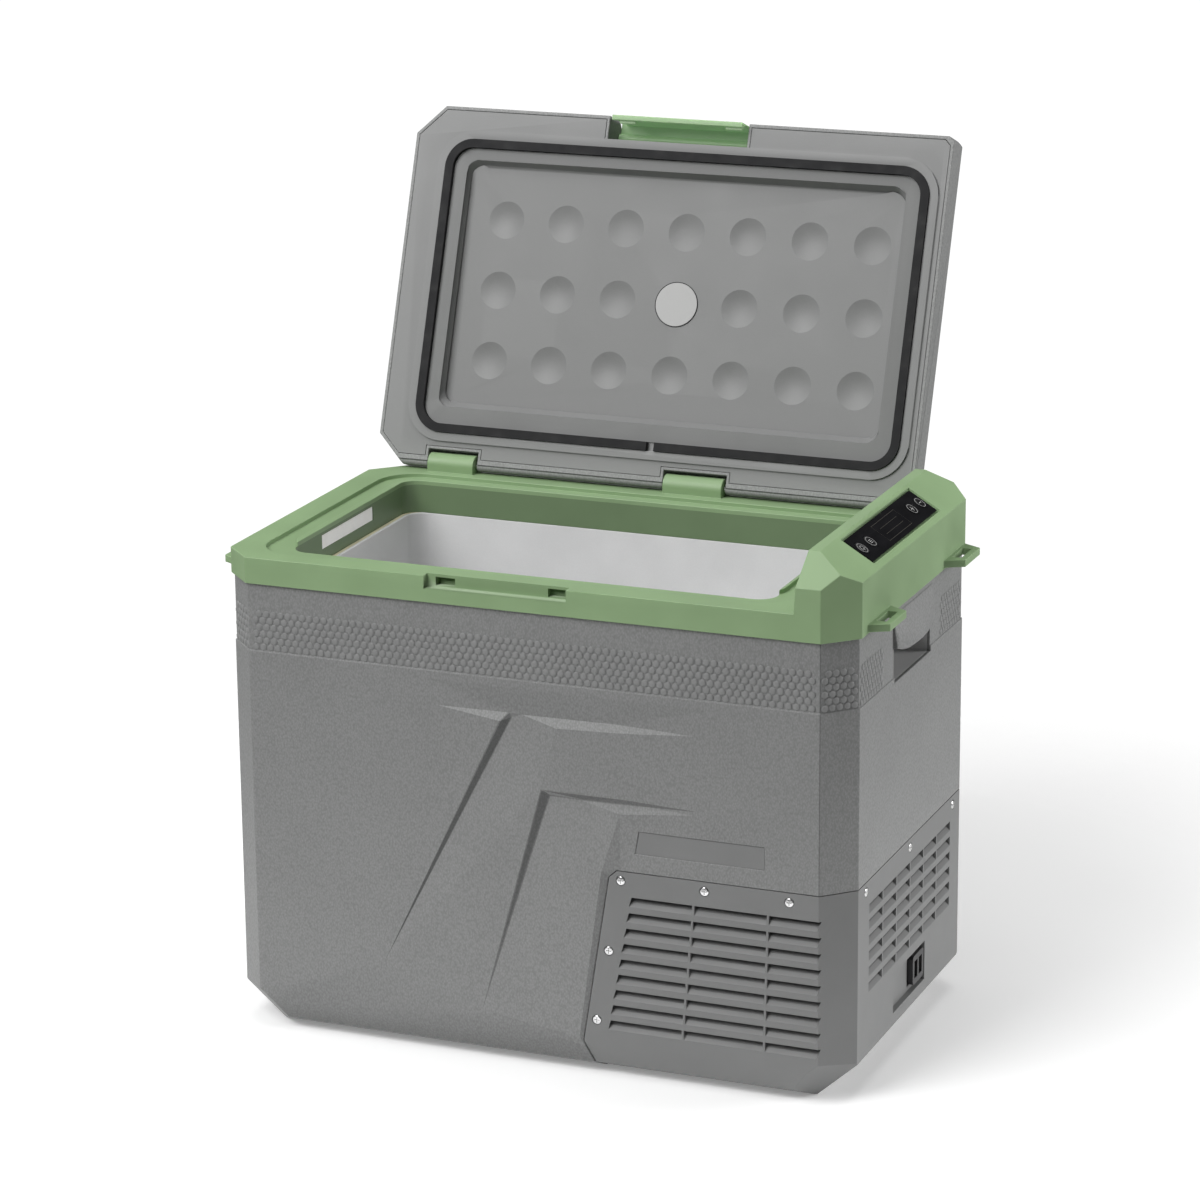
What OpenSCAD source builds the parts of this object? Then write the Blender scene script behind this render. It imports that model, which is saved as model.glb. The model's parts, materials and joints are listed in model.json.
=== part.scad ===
// Portable compressor cooler fridge with a hinged lid, shown open on its stop.
// Millimetres. X runs right along the long front, Y runs to the back, Z is up.
// The origin is the middle of the flat underside.

/* [Body] */
// Length of the body, left to right
body_l = 580; // [570:2:600]
// Depth of the body, front to back
body_w = 338; // [336:2:350]
// Height of the rim's flat top
rim_top = 435; // [433:1:440]
// Size of the vertical corner chamfers
corner = 27; // [22:1:30]
// Wall thickness of the outer shell
shell_wall = 5; // [4:0.5:6]

/* [Lid] */
// Angle between the closed lid and the open lid resting on its stop
lid_open = 110.2; // [95:0.1:112]
// Height of the lid from its flange to its top
lid_thick = 37; // [34:1:40]
// Width of each cast dimple in the lid's inner panel
dimple_d = 35; // [20:1:40]

/* [Tank] */
// Thickness of the tank wall
liner_wall = 2.5; // [2:0.5:3]
// Inside corner radius of the tank
tank_r = 16; // [12:1:20]
// Height of the deep tank floor
deep_floor = 42; // [40:1:60]
// Height of the shallow floor over the compressor
shelf_floor = 232; // [228:1:260]

/* [Vents] */
// Louvre rows in the front and back of the cover
front_rows = 9; // [6:1:9]
// Louvre rows in the side of the cover
side_rows = 6; // [4:1:6]
// Height of each louvre opening
louvre_h = 8.5; // [6:0.5:9]

/* [Fan] */
// Number of fan blades
fan_blades = 7; // [5:1:9]

/* [View] */
// Sub-part to build, or all of them

/* [Hidden] */
$fn = 64;

half_l = body_l / 2;
half_w = body_w / 2;
seam_z = rim_top - 23.6;
skirt_z = rim_top - 30.5;
// Underside bevels
end_run = 36.5;
end_rise = 33;
side_run = 29;
side_rise = 30;
// Slanted facet across each lower corner: direction, reach at the floor, and run per unit of height
corner_dir = [0.645, 0.764];
corner_reach = 268.9;
corner_slope = 0.77;
// Lower edge of the textured band, which runs up to the rim
band_lo = 351;
// The walls below the band are set in from the rim, and the band a little more
low_in = 1.6;
band_in = 2.6;

// Tank opening in the rim
open_x0 = -half_l + 49;
open_x1 = 204;
open_y0 = -125;
open_y1 = 122;
deck = 4;
tank_x0 = open_x0 + 5.5;
tank_x1 = open_x1 - 4;
groove_z = rim_top - 4;
// Seal line on the lid
seal_x0 = -half_l + 34.5;
seal_x1 = 217;
seal_y0 = -139;
seal_y1 = 136.5;
seal_w = 8;
seal_r = 27;
// Where the deep floor steps up to the shallow one
step_x = 20;

// Hinge
hinge_y = half_w - 4;
hinge_z = rim_top + 5.8;
knuckle_r = 10;
pin_r = 3;
knuckles = [[-236, -190], [-2, 55]];
lid_x1 = 233.6;
flange_n = -5;
lid_top_n = flange_n + lid_thick;
lid_front = hinge_y + half_w;
tray_n = flange_n + 10;

// Console
con_x0 = 239;
con_top = rim_top + 47.5;
con_edge = rim_top + 24.7;
con_ridge = 252;
face_tilt = atan2(con_top - con_edge, half_l - con_ridge);
panel_x = 269.5;
panel_y = -4.5;
panel_z = con_edge + (half_l - panel_x) * tan(face_tilt);

// Latch
latch_x0 = -98;
latch_x1 = 38;
latch_v = 318;
latch_n = 23;
flap_y = -lid_front + latch_v + 0.7;
flap_z = -latch_n - 16;
hook_x = [-85, 18.5];
hook_w = 15.5;

// Compressor bay
bay_z = 191;
bulk = 2;
comp_x = 142;
comp_y = -72;
comp_r = 54;
fan_x = 212;
fan_y = 18;
fan_z = 92;
fan_r = 50;
cond_x = 240;
// Suction and capillary lines, where they pass the bulkhead
line_x = 66;
line_y = 60;
line_z = 150;

shell_grey = [0.42, 0.43, 0.43];
smooth_grey = [0.46, 0.47, 0.47];
green = [0.47, 0.6, 0.41];
light = [0.8, 0.8, 0.8];
black = [0.06, 0.06, 0.07];
foam_cream = [0.9, 0.86, 0.7];
metal = [0.7, 0.71, 0.72];
copper = [0.72, 0.42, 0.25];
board_green = [0.1, 0.35, 0.2];

module footprint(inset) {
  l = half_l - inset;
  w = half_w - inset;
  c = corner - 0.586 * inset;
  polygon([
    [-l + c, -w], [l - c, -w], [l, -w + c], [l, w - c],
    [l - c, w], [-l + c, w], [-l, w - c], [-l, -w + c]
  ]);
}

// The body's form up to a height, with its walls moved inwards and its underside raised
module body_block(wall_in, under, z1) {
  l = half_l - wall_in;
  w = half_w - wall_in;
  difference() {
    straight_block(wall_in, under, z1, l, w);
    corner_cuts(wall_in, under);
  }
}

module corner_cuts(wall_in, under) {
  r = corner_reach - wall_in;
  for (sx = [-1, 1]) {
    for (sy = [-1, 1]) {
      rotate([0, 0, atan2(sy * corner_dir[1], sx * corner_dir[0])]) rotate([90, 0, 0])
        linear_extrude(300, center = true)
        polygon([
          [r - corner_slope * 2, under - 2], [r + corner_slope * 60, under + 60],
          [r + 100, under + 60], [r + 100, under - 2]
        ]);
    }
  }
}

module straight_block(wall_in, under, z1, l, w) {
  intersection() {
    linear_extrude(z1) footprint(wall_in);
    rotate([90, 0, 0]) linear_extrude(2 * half_w + 2, center = true)
      polygon([
        [-l + end_run, under], [l - end_run, under], [l, end_rise + under],
        [l, 600], [-l, 600], [-l, end_rise + under]
      ]);
    rotate([90, 0, 90]) linear_extrude(2 * half_l + 2, center = true)
      polygon([
        [-w + side_run, under], [w - side_run, under], [w - 8, 10 + under], [w, side_rise + under],
        [w, 600], [-w, 600], [-w, side_rise + under], [-w + 8, 10 + under]
      ]);
  }
}

module box(x0, x1, y0, y1, z0, z1) {
  translate([x0, y0, z0]) cube([x1 - x0, y1 - y0, z1 - z0]);
}

module rounded(x0, x1, y0, y1, r, z0, z1) {
  translate([0, 0, z0]) linear_extrude(z1 - z0) union() {
    translate([x0 + r, y0]) square([x1 - x0 - 2 * r, y1 - y0]);
    translate([x0, y0 + r]) square([x1 - x0, y1 - y0 - 2 * r]);
    for (x = [x0 + r, x1 - r]) {
      for (y = [y0 + r, y1 - r]) translate([x, y]) circle(r);
    }
  }
}

// Everything to the right of the slanted cover seam, as a solid
module cover_zone(gap) {
  rotate([90, 0, 0]) linear_extrude(body_w + 4, center = true)
    polygon([
      [60 + gap, -1], [48.5 + gap, 32], [73 + gap, 184], [80 + gap, bay_z - gap],
      [half_l + 30, bay_z - gap], [half_l + 30, -1]
    ]);
}

// A straight rod between two points
module rod(a, b, r) {
  d = b - a;
  translate(a) rotate([0, acos(d[2] / norm(d)), atan2(d[1], d[0])]) cylinder(h = norm(d), r = r);
}

module tube_path(points, r) {
  for (i = [0 : len(points) - 2]) rod(points[i], points[i + 1], r);
  for (i = [1 : len(points) - 2]) translate(points[i]) sphere(r * 1.01);
}

// ---- body ----

// A shallow groove on the front face that fades out towards its lower end
module front_groove(x0, z0, x1, z1) {
  hull() {
    translate([x0, -half_w + low_in + 2.4, z0]) rotate([90, 0, 0]) cylinder(h = 4, r1 = 0.5, r2 = 5, $fn = 6);
    translate([x1, -half_w + low_in + 0.2, z1]) rotate([90, 0, 0]) cylinder(h = 4, r1 = 0.5, r2 = 3, $fn = 6);
  }
}

// Bulged hand grip with a bowed lower edge, no deeper than the shell's wall
module grip(side) {
  intersection() {
    hull() {
      translate([side * (half_l - 4), 0, 404]) cube([4, 108, 4], center = true);
      for (k = [-3 : 3]) {
        bow = 1 - k * k / 12;
        translate([side * (half_l - 2), 16 * k, 384 - 12 * bow]) cube([6, 6, 8], center = true);
        translate([side * (half_l - 2 + 6 * bow), 15 * k, 386 - 9 * bow]) cube([5, 8, 8], center = true);
      }
    }
    box(side > 0 ? half_l - shell_wall : -half_l - 10, side > 0 ? half_l + 10 : -half_l + shell_wall,
      -60, 60, 360, 406);
  }
}

module outer_shell() color(shell_grey) difference() {
  union() {
    difference() {
      body_block(0, 0, seam_z);
      body_block(shell_wall, shell_wall, seam_z + 1);
      cover_zone(0);
      // walls below the band
      difference() {
        translate([0, 0, -1]) linear_extrude(band_lo + 1) footprint(-2);
        translate([0, 0, -2]) linear_extrude(band_lo + 3) footprint(low_in);
      }
      // textured band
      difference() {
        translate([0, 0, band_lo - 0.1]) linear_extrude(seam_z - band_lo + 1) footprint(-2);
        translate([0, 0, band_lo - 1]) linear_extrude(seam_z - band_lo + 3) footprint(band_in);
      }
      for (s = [-1, 1]) box(s * half_l - 20, s * half_l + 20, -50, 50, 346, 391);
    }
    for (s = [-1, 1]) grip(s);
  }
  front_groove(-19, 316, -140, 78);
  front_groove(17, 252, -38, 74);
  // name plate pocket
  translate([0, -half_w + low_in + 1.6, 0]) rotate([90, 0, 0]) linear_extrude(4) plate_outline(0);
  foot_spots() translate([0, 0, -1]) cylinder(h = 2.6, r = 14.2);
}

module plate_outline(gap) {
  polygon([
    [101 + gap, 228 - gap], [97.5 + gap, 208 + gap], [214 - gap, 208 + gap], [214 - gap, 228 - gap]
  ]);
}

module name_plate() color(smooth_grey) translate([0, -half_w + low_in + 1.6, 0]) rotate([90, 0, 0])
  linear_extrude(1) plate_outline(0.2);

module foot_spots() {
  for (x = [-220, 32]) {
    for (y = [-112, 112]) translate([x, y, 0]) children();
  }
}

module foot_pads() color(black) foot_spots() cylinder(h = 1.5, r = 14);

// The tank's outer volume, grown by extra
module tank_volume(extra) {
  rounded(tank_x0 - extra, step_x + extra, open_y0 - extra, open_y1 + extra,
    tank_r + extra, deep_floor - extra, skirt_z);
  rounded(tank_x0 - extra, tank_x1 + extra, open_y0 - extra, open_y1 + extra,
    tank_r + extra, shelf_floor - extra, skirt_z);
}

module tank_liner() color(light) difference() {
  tank_volume(liner_wall);
  tank_volume(0);
  translate([0, 0, skirt_z - 1]) rounded(tank_x0, tank_x1, open_y0, open_y1, tank_r, 0, 3);
}

module cup_block(side, extra) {
  x0 = side > 0 ? half_l - shell_wall - 34 - extra : -half_l + shell_wall;
  x1 = side > 0 ? half_l - shell_wall : -half_l + shell_wall + 34 + extra;
  box(x0, x1, -50 - extra, 50 + extra, 346 - extra, 398 + extra);
}

module handle_cup(side) {
  difference() {
    cup_block(side, 2);
    translate([side * 0.01, 0, 0]) cup_block(side, 0);
  }
}

module handle_cup_left() color(smooth_grey) handle_cup(-1);

module handle_cup_right() color(smooth_grey) handle_cup(1);

module evaporator_block() {
  rounded(tank_x0 - 4.5, step_x + 4.5, open_y0 - 4.5, open_y1 + 4.5, tank_r + 4.5, 90, 330);
}

module evaporator_plate() color(metal) difference() {
  evaporator_block();
  rounded(tank_x0 - 3, step_x + 3, open_y0 - 3, open_y1 + 3, tank_r + 3, 89, 331);
  // the band is open where the shelf joins
  box(step_x - 30, step_x + 20, -200, 200, 180, 340);
}

module probe_pocket(extra) {
  translate([-60, open_y1 + 4.5, 200]) rotate([-90, 0, 0]) cylinder(h = 6 + extra, r = 3 + extra, $fn = 32);
}

module temperature_probe() color(metal) difference() {
  probe_pocket(0);
  translate([-60, open_y1 + 9, 200]) rotate([-90, 0, 0]) cylinder(h = 3, r = 1, $fn = 24);
}

module insulation() color(foam_cream) difference() {
  body_block(shell_wall, shell_wall, groove_z - deck);
  tank_volume(liner_wall);
  rounded(open_x0 - 4, open_x1 + 4, open_y0 - 4, open_y1 + 4, 20, skirt_z, skirt_z + 60);
  cover_zone(-bulk);
  evaporator_block();
  probe_pocket(0.2);
  for (s = [-1, 1]) cup_block(s, 2);
  // clearance for the rim frame's outer wall and keeper block
  difference() {
    translate([0, 0, seam_z - 2]) linear_extrude(60) footprint(-2);
    translate([0, 0, seam_z - 3]) linear_extrude(62) footprint(9);
  }
  box(latch_x0 - 10, latch_x1 + 10, -half_w - 1, -half_w + 26, seam_z - 2, 500);
  box(open_x0 - 14, open_x0, -70, 56, seam_z - 6, 500);
}

module bay_bulkhead() color(metal) difference() {
  intersection() {
    body_block(shell_wall + 0.5, shell_wall + 0.5, 300);
    difference() {
      cover_zone(-bulk);
      cover_zone(0);
    }
  }
  // capillary and suction pass-through
  translate([line_x, line_y, line_z]) rotate([0, 90, 0]) cylinder(h = 40, r = 6.5, center = true, $fn = 32);
}

module base_pan() color(metal) difference() {
  box(61.5, half_l - end_run - 4, -half_w + side_run + 4, half_w - side_run - 4, 0.4, 3);
  for (x = [100, 184]) {
    for (y = [-122, -22]) translate([x, y, -1]) cylinder(h = 6, r = 3);
  }
  for (y = [-60 : 15 : 60]) box(200, 240, y, y + 6, -1, 4);
}

// ---- vent cover ----

module front_louvres(y_face) {
  pitch = 14.35;
  depth = 14;
  for (i = [0 : front_rows - 1]) {
    z1 = 168 - i * pitch;
    z0 = z1 - louvre_h;
    x0 = 94 - i * 2.5;
    difference() {
      translate([0, y_face, 0]) rotate([90, 0, 0]) linear_extrude(depth, center = true)
        polygon([[x0, z1], [x0 - 2.5, z0], [261, z0], [264, z1]]);
      for (d = [[150, 1.25], [217, 0.4]]) {
        translate([d[0] - i * d[1], y_face, z0 - 1]) cube([2, 3 * depth, 2 * louvre_h + 4], center = true);
      }
    }
  }
}

module side_louvres() {
  pitch = 14.2;
  for (i = [0 : side_rows - 1]) {
    z1 = 168.5 - i * pitch;
    difference() {
      box(half_l - 12, half_l + 4, -112, 114, z1 - louvre_h, z1);
      for (y = [-75, -37.5, 0, 37.5, 75]) box(half_l - 13, half_l + 5, y - 1.25, y + 1.25, z1 - 12, z1 + 1);
    }
  }
}

front_screws = [[84, 182], [160, 182], [236, 182], [72.5, 117], [61, 52]];
side_screws = [-120, 0, 122];

module screw(clear) {
  translate([0, 0, -2.2 - clear]) cylinder(h = 2.4 + 3 * clear, r = 4 + clear, $fn = 32);
  translate([0, 0, -9]) cylinder(h = 9, r = 1.8 + clear, $fn = 32);
}

module at_cover_screws() {
  for (p = front_screws) translate([p[0], -half_w + low_in, p[1]]) rotate([90, 0, 0]) children();
  for (p = front_screws) translate([p[0], half_w - low_in, p[1]]) rotate([-90, 0, 0]) children();
  for (y = side_screws) translate([half_l - low_in, y, 182]) rotate([0, 90, 0]) children();
}

module cover_screws() color(metal) at_cover_screws() difference() {
  union() screw(0);
  translate([0, 0, 1]) cube([5, 1, 3], center = true);
  translate([0, 0, 1]) cube([1, 5, 3], center = true);
}

module vent_cover() color(smooth_grey) difference() {
  intersection() {
    difference() {
      body_block(low_in, 0, bay_z);
      difference() {
        body_block(low_in + 3.2, 3.2, bay_z + 5);
        box(half_l - 14, half_l, -54, 54, 40, 84);
      }
      box(40, half_l - end_run - 3.5, -half_w + side_run + 3.5, half_w - side_run - 3.5, -1, 4);
    }
    cover_zone(0.5);
  }
  for (s = [-1, 1]) front_louvres(s * half_w);
  side_louvres();
  // inlet recess and the hole for the inlet
  box(half_l - 7, half_l + 1, -44, 44, 44, 80);
  box(half_l - 20, half_l - 2, 11, 43, 48, 76);
  at_cover_screws() screw(0.35);
}

module power_inlet() color(black) difference() {
  union() {
    rotate([90, 0, 90]) translate([27, 62, half_l - 7]) linear_extrude(5) union() {
      square([30, 20], center = true);
      square([22, 27], center = true);
      for (a = [-1, 1]) {
        for (b = [-1, 1]) translate([a * 11, b * 9.5]) circle(4, $fn = 32);
      }
    }
    box(half_l - 24, half_l - 7, 14, 40, 51, 73);
  }
  box(half_l - 18, half_l - 1, 16.5, 25, 54, 70);
  box(half_l - 18, half_l - 1, 29, 37.5, 54, 70);
}

module inlet_contacts() color(metal) {
  for (y = [20.75, 33.25]) box(half_l - 18, half_l - 8, y - 1, y + 1, 58, 66);
}

// ---- rim frame ----

module console_form(inset) {
  intersection() {
    rotate([90, 0, 0]) linear_extrude(body_w + 2, center = true)
      polygon([
        [con_x0 + inset, 300], [con_x0 + inset, rim_top], [con_x0 + 3 + inset, con_top - inset],
        [con_ridge - inset * 0.27, con_top - inset], [half_l - inset, con_edge - inset * 0.57],
        [half_l - inset, 300]
      ]);
    rotate([90, 0, 90]) linear_extrude(body_l + 2, center = true)
      polygon([
        [-half_w + inset, 300], [-half_w + inset, rim_top + 22.5 - inset * 0.5],
        [-half_w + 29 + inset * 0.4, con_top - inset + 0.01],
        [half_w - 25 - inset * 0.4, con_top - inset + 0.01],
        [half_w - inset, rim_top + 25 - inset * 0.5], [half_w - inset, 300]
      ]);
    linear_extrude(600) footprint(inset);
  }
}

module lug(side, y0) {
  difference() {
    translate([0, 0, seam_z + 2]) linear_extrude(6.5)
      polygon([
        [side * (half_l - 1), y0], [side * (half_l + 17), y0 + 10],
        [side * (half_l + 17), y0 + 53], [side * (half_l - 1), y0 + 63]
      ]);
    translate([side * (half_l + 7), y0 + 31.5, seam_z + 5]) cube([8, 30, 12], center = true);
  }
}

lug_starts = [-130, 78];

module on_panel() {
  translate([panel_x, panel_y, panel_z]) rotate([0, face_tilt, 0]) children();
}

module knuckle(span) {
  translate([span[0], 0, 0]) rotate([90, 0, 90]) linear_extrude(span[1] - span[0]) union() {
    translate([hinge_y, hinge_z]) circle(knuckle_r);
    polygon([
      [hinge_y - knuckle_r, hinge_z], [hinge_y - knuckle_r, rim_top - 1],
      [half_w, rim_top - 1], [half_w, rim_top + 2], [hinge_y, hinge_z]
    ]);
  }
}

module rim_frame() color(green) difference() {
  union() {
    difference() {
      translate([0, 0, seam_z]) linear_extrude(rim_top - seam_z) footprint(0);
      translate([0, 0, seam_z - 1]) linear_extrude(groove_z - deck - seam_z + 1) footprint(4);
    }
    difference() {
      console_form(0);
      console_form(3);
      box(-400, 400, -300, 300, 0, seam_z);
      // its inner wall stands on the deck
      box(0, con_x0 + 10, -half_w + 4, half_w - 4, 0, groove_z - deck);
    }
    // skirt round the opening
    rounded(open_x0 - 4, open_x1 + 4, open_y0 - 4, open_y1 + 4, 20, skirt_z, rim_top - 0.5);
    // keeper block
    box(latch_x0, latch_x1, -half_w + 3, -half_w + 24, seam_z + 1, groove_z);
    for (s = [-1, 1]) {
      for (y = lug_starts) lug(s, y);
    }
    difference() {
      for (k = knuckles) knuckle(k);
      box(-half_l, half_l, half_w, half_w + 30, 300, 600);
    }
  }
  // tank opening
  rounded(open_x0, open_x1, open_y0, open_y1, tank_r, 300, rim_top + 5);
  // seal channel, open to the tank along the front
  difference() {
    rounded(seal_x0 - 10, seal_x1 + 10, seal_y0 - 10, seal_y1 + 9.5, seal_r + 9, groove_z, rim_top + 1);
    rounded(open_x0 - 6, open_x1 + 3, open_y0 + 10, open_y1 + 4, tank_r + 4, groove_z - 1, rim_top + 2);
  }
  // keeper channel and the two hook windows
  box(latch_x0 + 4, latch_x1 - 1, -half_w - 1, -half_w + 8.5, rim_top - 11.5, rim_top + 1);
  for (x = hook_x) box(x - 1, x + hook_w + 1.5, -half_w, -half_w + 16, rim_top - 10, rim_top - 2.5);
  // display recess and window
  on_panel() cube([34, 181, 4], center = true);
  on_panel() translate([0, 0, -3]) cube([26, 166, 10], center = true);
  // lamp window
  box(open_x0 - 10, open_x0 + 4, -60, 46, rim_top - 20, rim_top - 7);
  for (k = knuckles) translate([k[0] - 1, hinge_y, hinge_z]) rotate([0, 90, 0])
    cylinder(h = k[1] - k[0] + 2, r = pin_r + 0.05);
}

module lamp_lens() color([0.95, 0.95, 0.9]) {
  box(open_x0 - 3.5, open_x0 - 0.6, -59.7, 45.7, rim_top - 19.7, rim_top - 7.3);
}

module lamp_board() color(board_green) union() {
  box(open_x0 - 6.5, open_x0 - 5.1, -57, 43, rim_top - 18, rim_top - 9);
  for (y = [-50 : 14 : 34]) box(open_x0 - 5.1, open_x0 - 4, y, y + 4, rim_top - 15, rim_top - 12);
}

key_spots = [-78, -56, 56, 78];

module display_lens() color(black) on_panel() difference() {
  translate([0, 0, -1.25]) cube([30, 174, 1.5], center = true);
  for (y = key_spots) translate([0, y, -5]) cylinder(h = 10, r = 7.4);
}

module display_module() color(black) on_panel() translate([0, 0, -5]) cube([22, 70, 3], center = true);

module control_board() color(board_green) on_panel() union() {
  translate([0, 0, -8.5]) cube([24, 164, 1.6], center = true);
  for (y = key_spots) translate([0, y, -7.4]) cube([6, 6, 1.4], center = true);
}

module key(y) {
  on_panel() translate([0, y, 0]) union() {
    translate([0, 0, -1.2]) cylinder(h = 1, r = 7);
    translate([0, 0, -5.6]) cylinder(h = 4.5, r = 2.5);
  }
}

module key_power() color(black) key(key_spots[0]);

module key_mode() color(black) key(key_spots[1]);

module key_up() color(black) key(key_spots[2]);

module key_down() color(black) key(key_spots[3]);

// ---- cooling machinery ----

module compressor() color(black) {
  translate([comp_x, comp_y, 22]) rotate_extrude() polygon([
    [0, -7.8], [24, -7.8], [28, 0], [44, 6], [comp_r - 2, 18], [comp_r, 30], [comp_r, 48], [comp_r + 3, 50],
    [comp_r + 3, 54], [comp_r, 56], [comp_r, 78], [comp_r - 4, 94], [40, 108], [22, 115], [0, 117]
  ]);
}

module grommet_spots() {
  for (x = [comp_x - 42, comp_x + 42]) {
    for (y = [comp_y - 50, comp_y + 50]) translate([x, y, 0]) children();
  }
}

module compressor_mount() color(metal) difference() {
  box(comp_x - 55, comp_x + 55, comp_y - 62, comp_y + 62, 11, 14);
  grommet_spots() cylinder(h = 20, r = 4.3);
}

module compressor_grommets() color(black) grommet_spots() union() {
  translate([0, 0, 3]) cylinder(h = 8, r = 8);
  translate([0, 0, 10]) cylinder(h = 5, r = 4);
  translate([0, 0, 14]) cylinder(h = 3, r = 8);
}

module terminal_cover() color(smooth_grey) difference() {
  box(comp_x - 24, comp_x + 24, comp_y + comp_r - 10, comp_y + comp_r + 20, 44, 92);
  translate([comp_x, comp_y, 0]) cylinder(h = 200, r = comp_r + 3.2);
}

module control_module() color(smooth_grey) union() {
  box(84, 144, 66, 140, 100, 128);
  for (i = [0 : 8]) box(88 + i * 6, 90 + i * 6, 68, 138, 128, 140);
  box(63.2, 84, 80, 126, 108, 118);
}

module condenser() color(metal) union() {
  for (i = [0 : 20]) box(cond_x, cond_x + 18, fan_y - 67.5 + i * 6.7, fan_y - 66.7 + i * 6.7, 34, 152);
  for (x = [cond_x + 4, cond_x + 13]) {
    for (i = [0 : 4]) rod([x, fan_y - 74, 46 + i * 23], [x, fan_y + 74, 46 + i * 23], 2.8);
  }
  for (i = [0 : 4]) rod([cond_x + 4, fan_y - 74, 46 + i * 23], [cond_x + 13, fan_y - 74, 46 + i * 23], 2.7);
  for (i = [0 : 3]) rod([cond_x + 13, fan_y + 74, 46 + i * 23], [cond_x + 4, fan_y + 74, 69 + i * 23], 2.7);
}

module fan_frame() color(black) difference() {
  union() {
    difference() {
      box(fan_x, fan_x + 25, fan_y - 60, fan_y + 60, fan_z - 60, fan_z + 60);
      translate([fan_x - 1, fan_y, fan_z]) rotate([0, 90, 0]) cylinder(h = 27, r = fan_r + 4);
    }
    for (a = [0 : 90 : 270]) translate([fan_x + 21.5, fan_y, fan_z]) rotate([a, 0, 0])
      translate([0, -2.5, 12]) cube([3, 5, fan_r - 5]);
    translate([fan_x + 20.5, fan_y, fan_z]) rotate([0, 90, 0]) cylinder(h = 4.5, r = 17);
    box(fan_x + 4, fan_x + 20, fan_y - 50, fan_y + 50, 3, fan_z - 58);
  }
  translate([fan_x + 10, fan_y, fan_z]) rotate([0, 90, 0]) cylinder(h = 20, r = 2.05);
}

module fan_rotor() color(black) union() {
  translate([fan_x + 3, fan_y, fan_z]) rotate([0, 90, 0]) cylinder(h = 16, r = 18);
  translate([fan_x + 10, fan_y, fan_z]) rotate([0, 90, 0]) cylinder(h = 14, r = 2);
  for (i = [0 : fan_blades - 1]) translate([fan_x + 11, fan_y, fan_z]) rotate([i * 360 / fan_blades, 0, 0])
    translate([0, 0, 16]) rotate([0, 0, 38]) translate([-1, -10, 0]) cube([2, 20, fan_r - 16.5]);
}

module filter_dryer() color(copper) union() {
  translate([206, -110, 60]) rotate_extrude() polygon([
    [0, 0], [3, 0], [9, 8], [9, 62], [3, 72], [0, 72]
  ]);
}

module refrigerant_lines() color(copper) {
  // discharge: compressor to condenser
  tube_path([[comp_x + 34, comp_y - 20, 131.6], [comp_x + 34, comp_y - 20, 165],
    [cond_x + 4, comp_y - 20, 165], [cond_x + 4, comp_y - 20, 138], [cond_x + 4, fan_y - 77.2, 138]], 2.5);
  // condenser to dryer
  tube_path([[cond_x + 13, fan_y - 77.2, 46], [cond_x + 13, -110, 46], [206, -110, 46],
    [206, -110, 59.7]], 2.5);
  // capillary: dryer to evaporator
  tube_path([[206, -110, 132.3], [206, -110, 175], [84, -110, 175], [84, line_y, 175],
    [84, line_y, line_z + 3], [line_x, line_y, line_z + 3]], 1.5);
  // suction: evaporator back to compressor
  tube_path([[line_x, line_y, line_z - 3], [92, line_y, line_z - 3], [92, 4, line_z - 3],
    [comp_x - 20, comp_y + 22, 160],
    [comp_x - 20, comp_y + 22, 135.6]], 2.5);
}

module power_harness() color(black) {
  tube_path([[half_l - 24.2, 27, 62], [half_l - 28, 27, 62], [half_l - 28, 104, 62], [200, 130, 30],
    [150, 130, 30], [150, 120, 114], [144.2, 120, 114]], 1.6);
}

// ---- lid: local X as the body, Y from the hinge line, Z out of the closed lid ----

module in_lid() {
  translate([0, hinge_y, hinge_z]) rotate([-lid_open, 0, 0]) children();
}

module lid_outline(inset) {
  x0 = -half_l + inset;
  x1 = lid_x1 - inset;
  v0 = -4 + inset;
  v1 = lid_front - inset;
  c = corner - 0.586 * inset;
  polygon([
    [x0 + c, -v1], [x1 - 5, -v1], [x1, -v1 + 5], [x1, -v0 - 5], [x1 - 5, -v0],
    [x0 + c, -v0], [x0, -v0 - c], [x0, -v1 + c]
  ]);
}

module lid_form(inset) {
  edge = 11;
  intersection() {
    translate([0, 0, flange_n]) linear_extrude(lid_thick - inset) lid_outline(inset);
    rotate([90, 0, 0]) linear_extrude(800, center = true)
      polygon([
        [-half_l + inset, -20], [lid_x1 - inset, -20], [lid_x1 - inset, lid_top_n - edge - inset * 0.5],
        [lid_x1 - edge - inset * 0.5, lid_top_n - inset], [-half_l + edge + inset * 0.5, lid_top_n - inset],
        [-half_l + inset, lid_top_n - edge - inset * 0.5]
      ]);
    rotate([90, 0, 90]) linear_extrude(800, center = true)
      polygon([
        [-lid_front + inset, -20], [4 - inset, -20], [4 - inset, lid_top_n - edge - inset * 0.5],
        [4 - edge - inset * 0.5, lid_top_n - inset], [-lid_front + edge + inset * 0.5, lid_top_n - inset],
        [-lid_front + inset, lid_top_n - edge - inset * 0.5]
      ]);
  }
}

// The lid's back edge turns on the hinge line, so it is round there
module back_rounding() {
  difference() {
    box(-300, 300, -1, 10, -20, 0);
    rotate([0, 90, 0]) cylinder(h = 700, r = 5, center = true);
  }
}

module hinge_notches(gap) {
  reach = knuckle_r + 0.5 + gap;
  for (k = knuckles) box(k[0] - gap, k[1] + gap, -reach, 10, -20, reach);
}

module latch_bay(gap) {
  box(latch_x0 - gap, latch_x1 + gap, -lid_front - 1, -lid_front + 22 + gap, -20, lid_top_n + 1);
}

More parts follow.
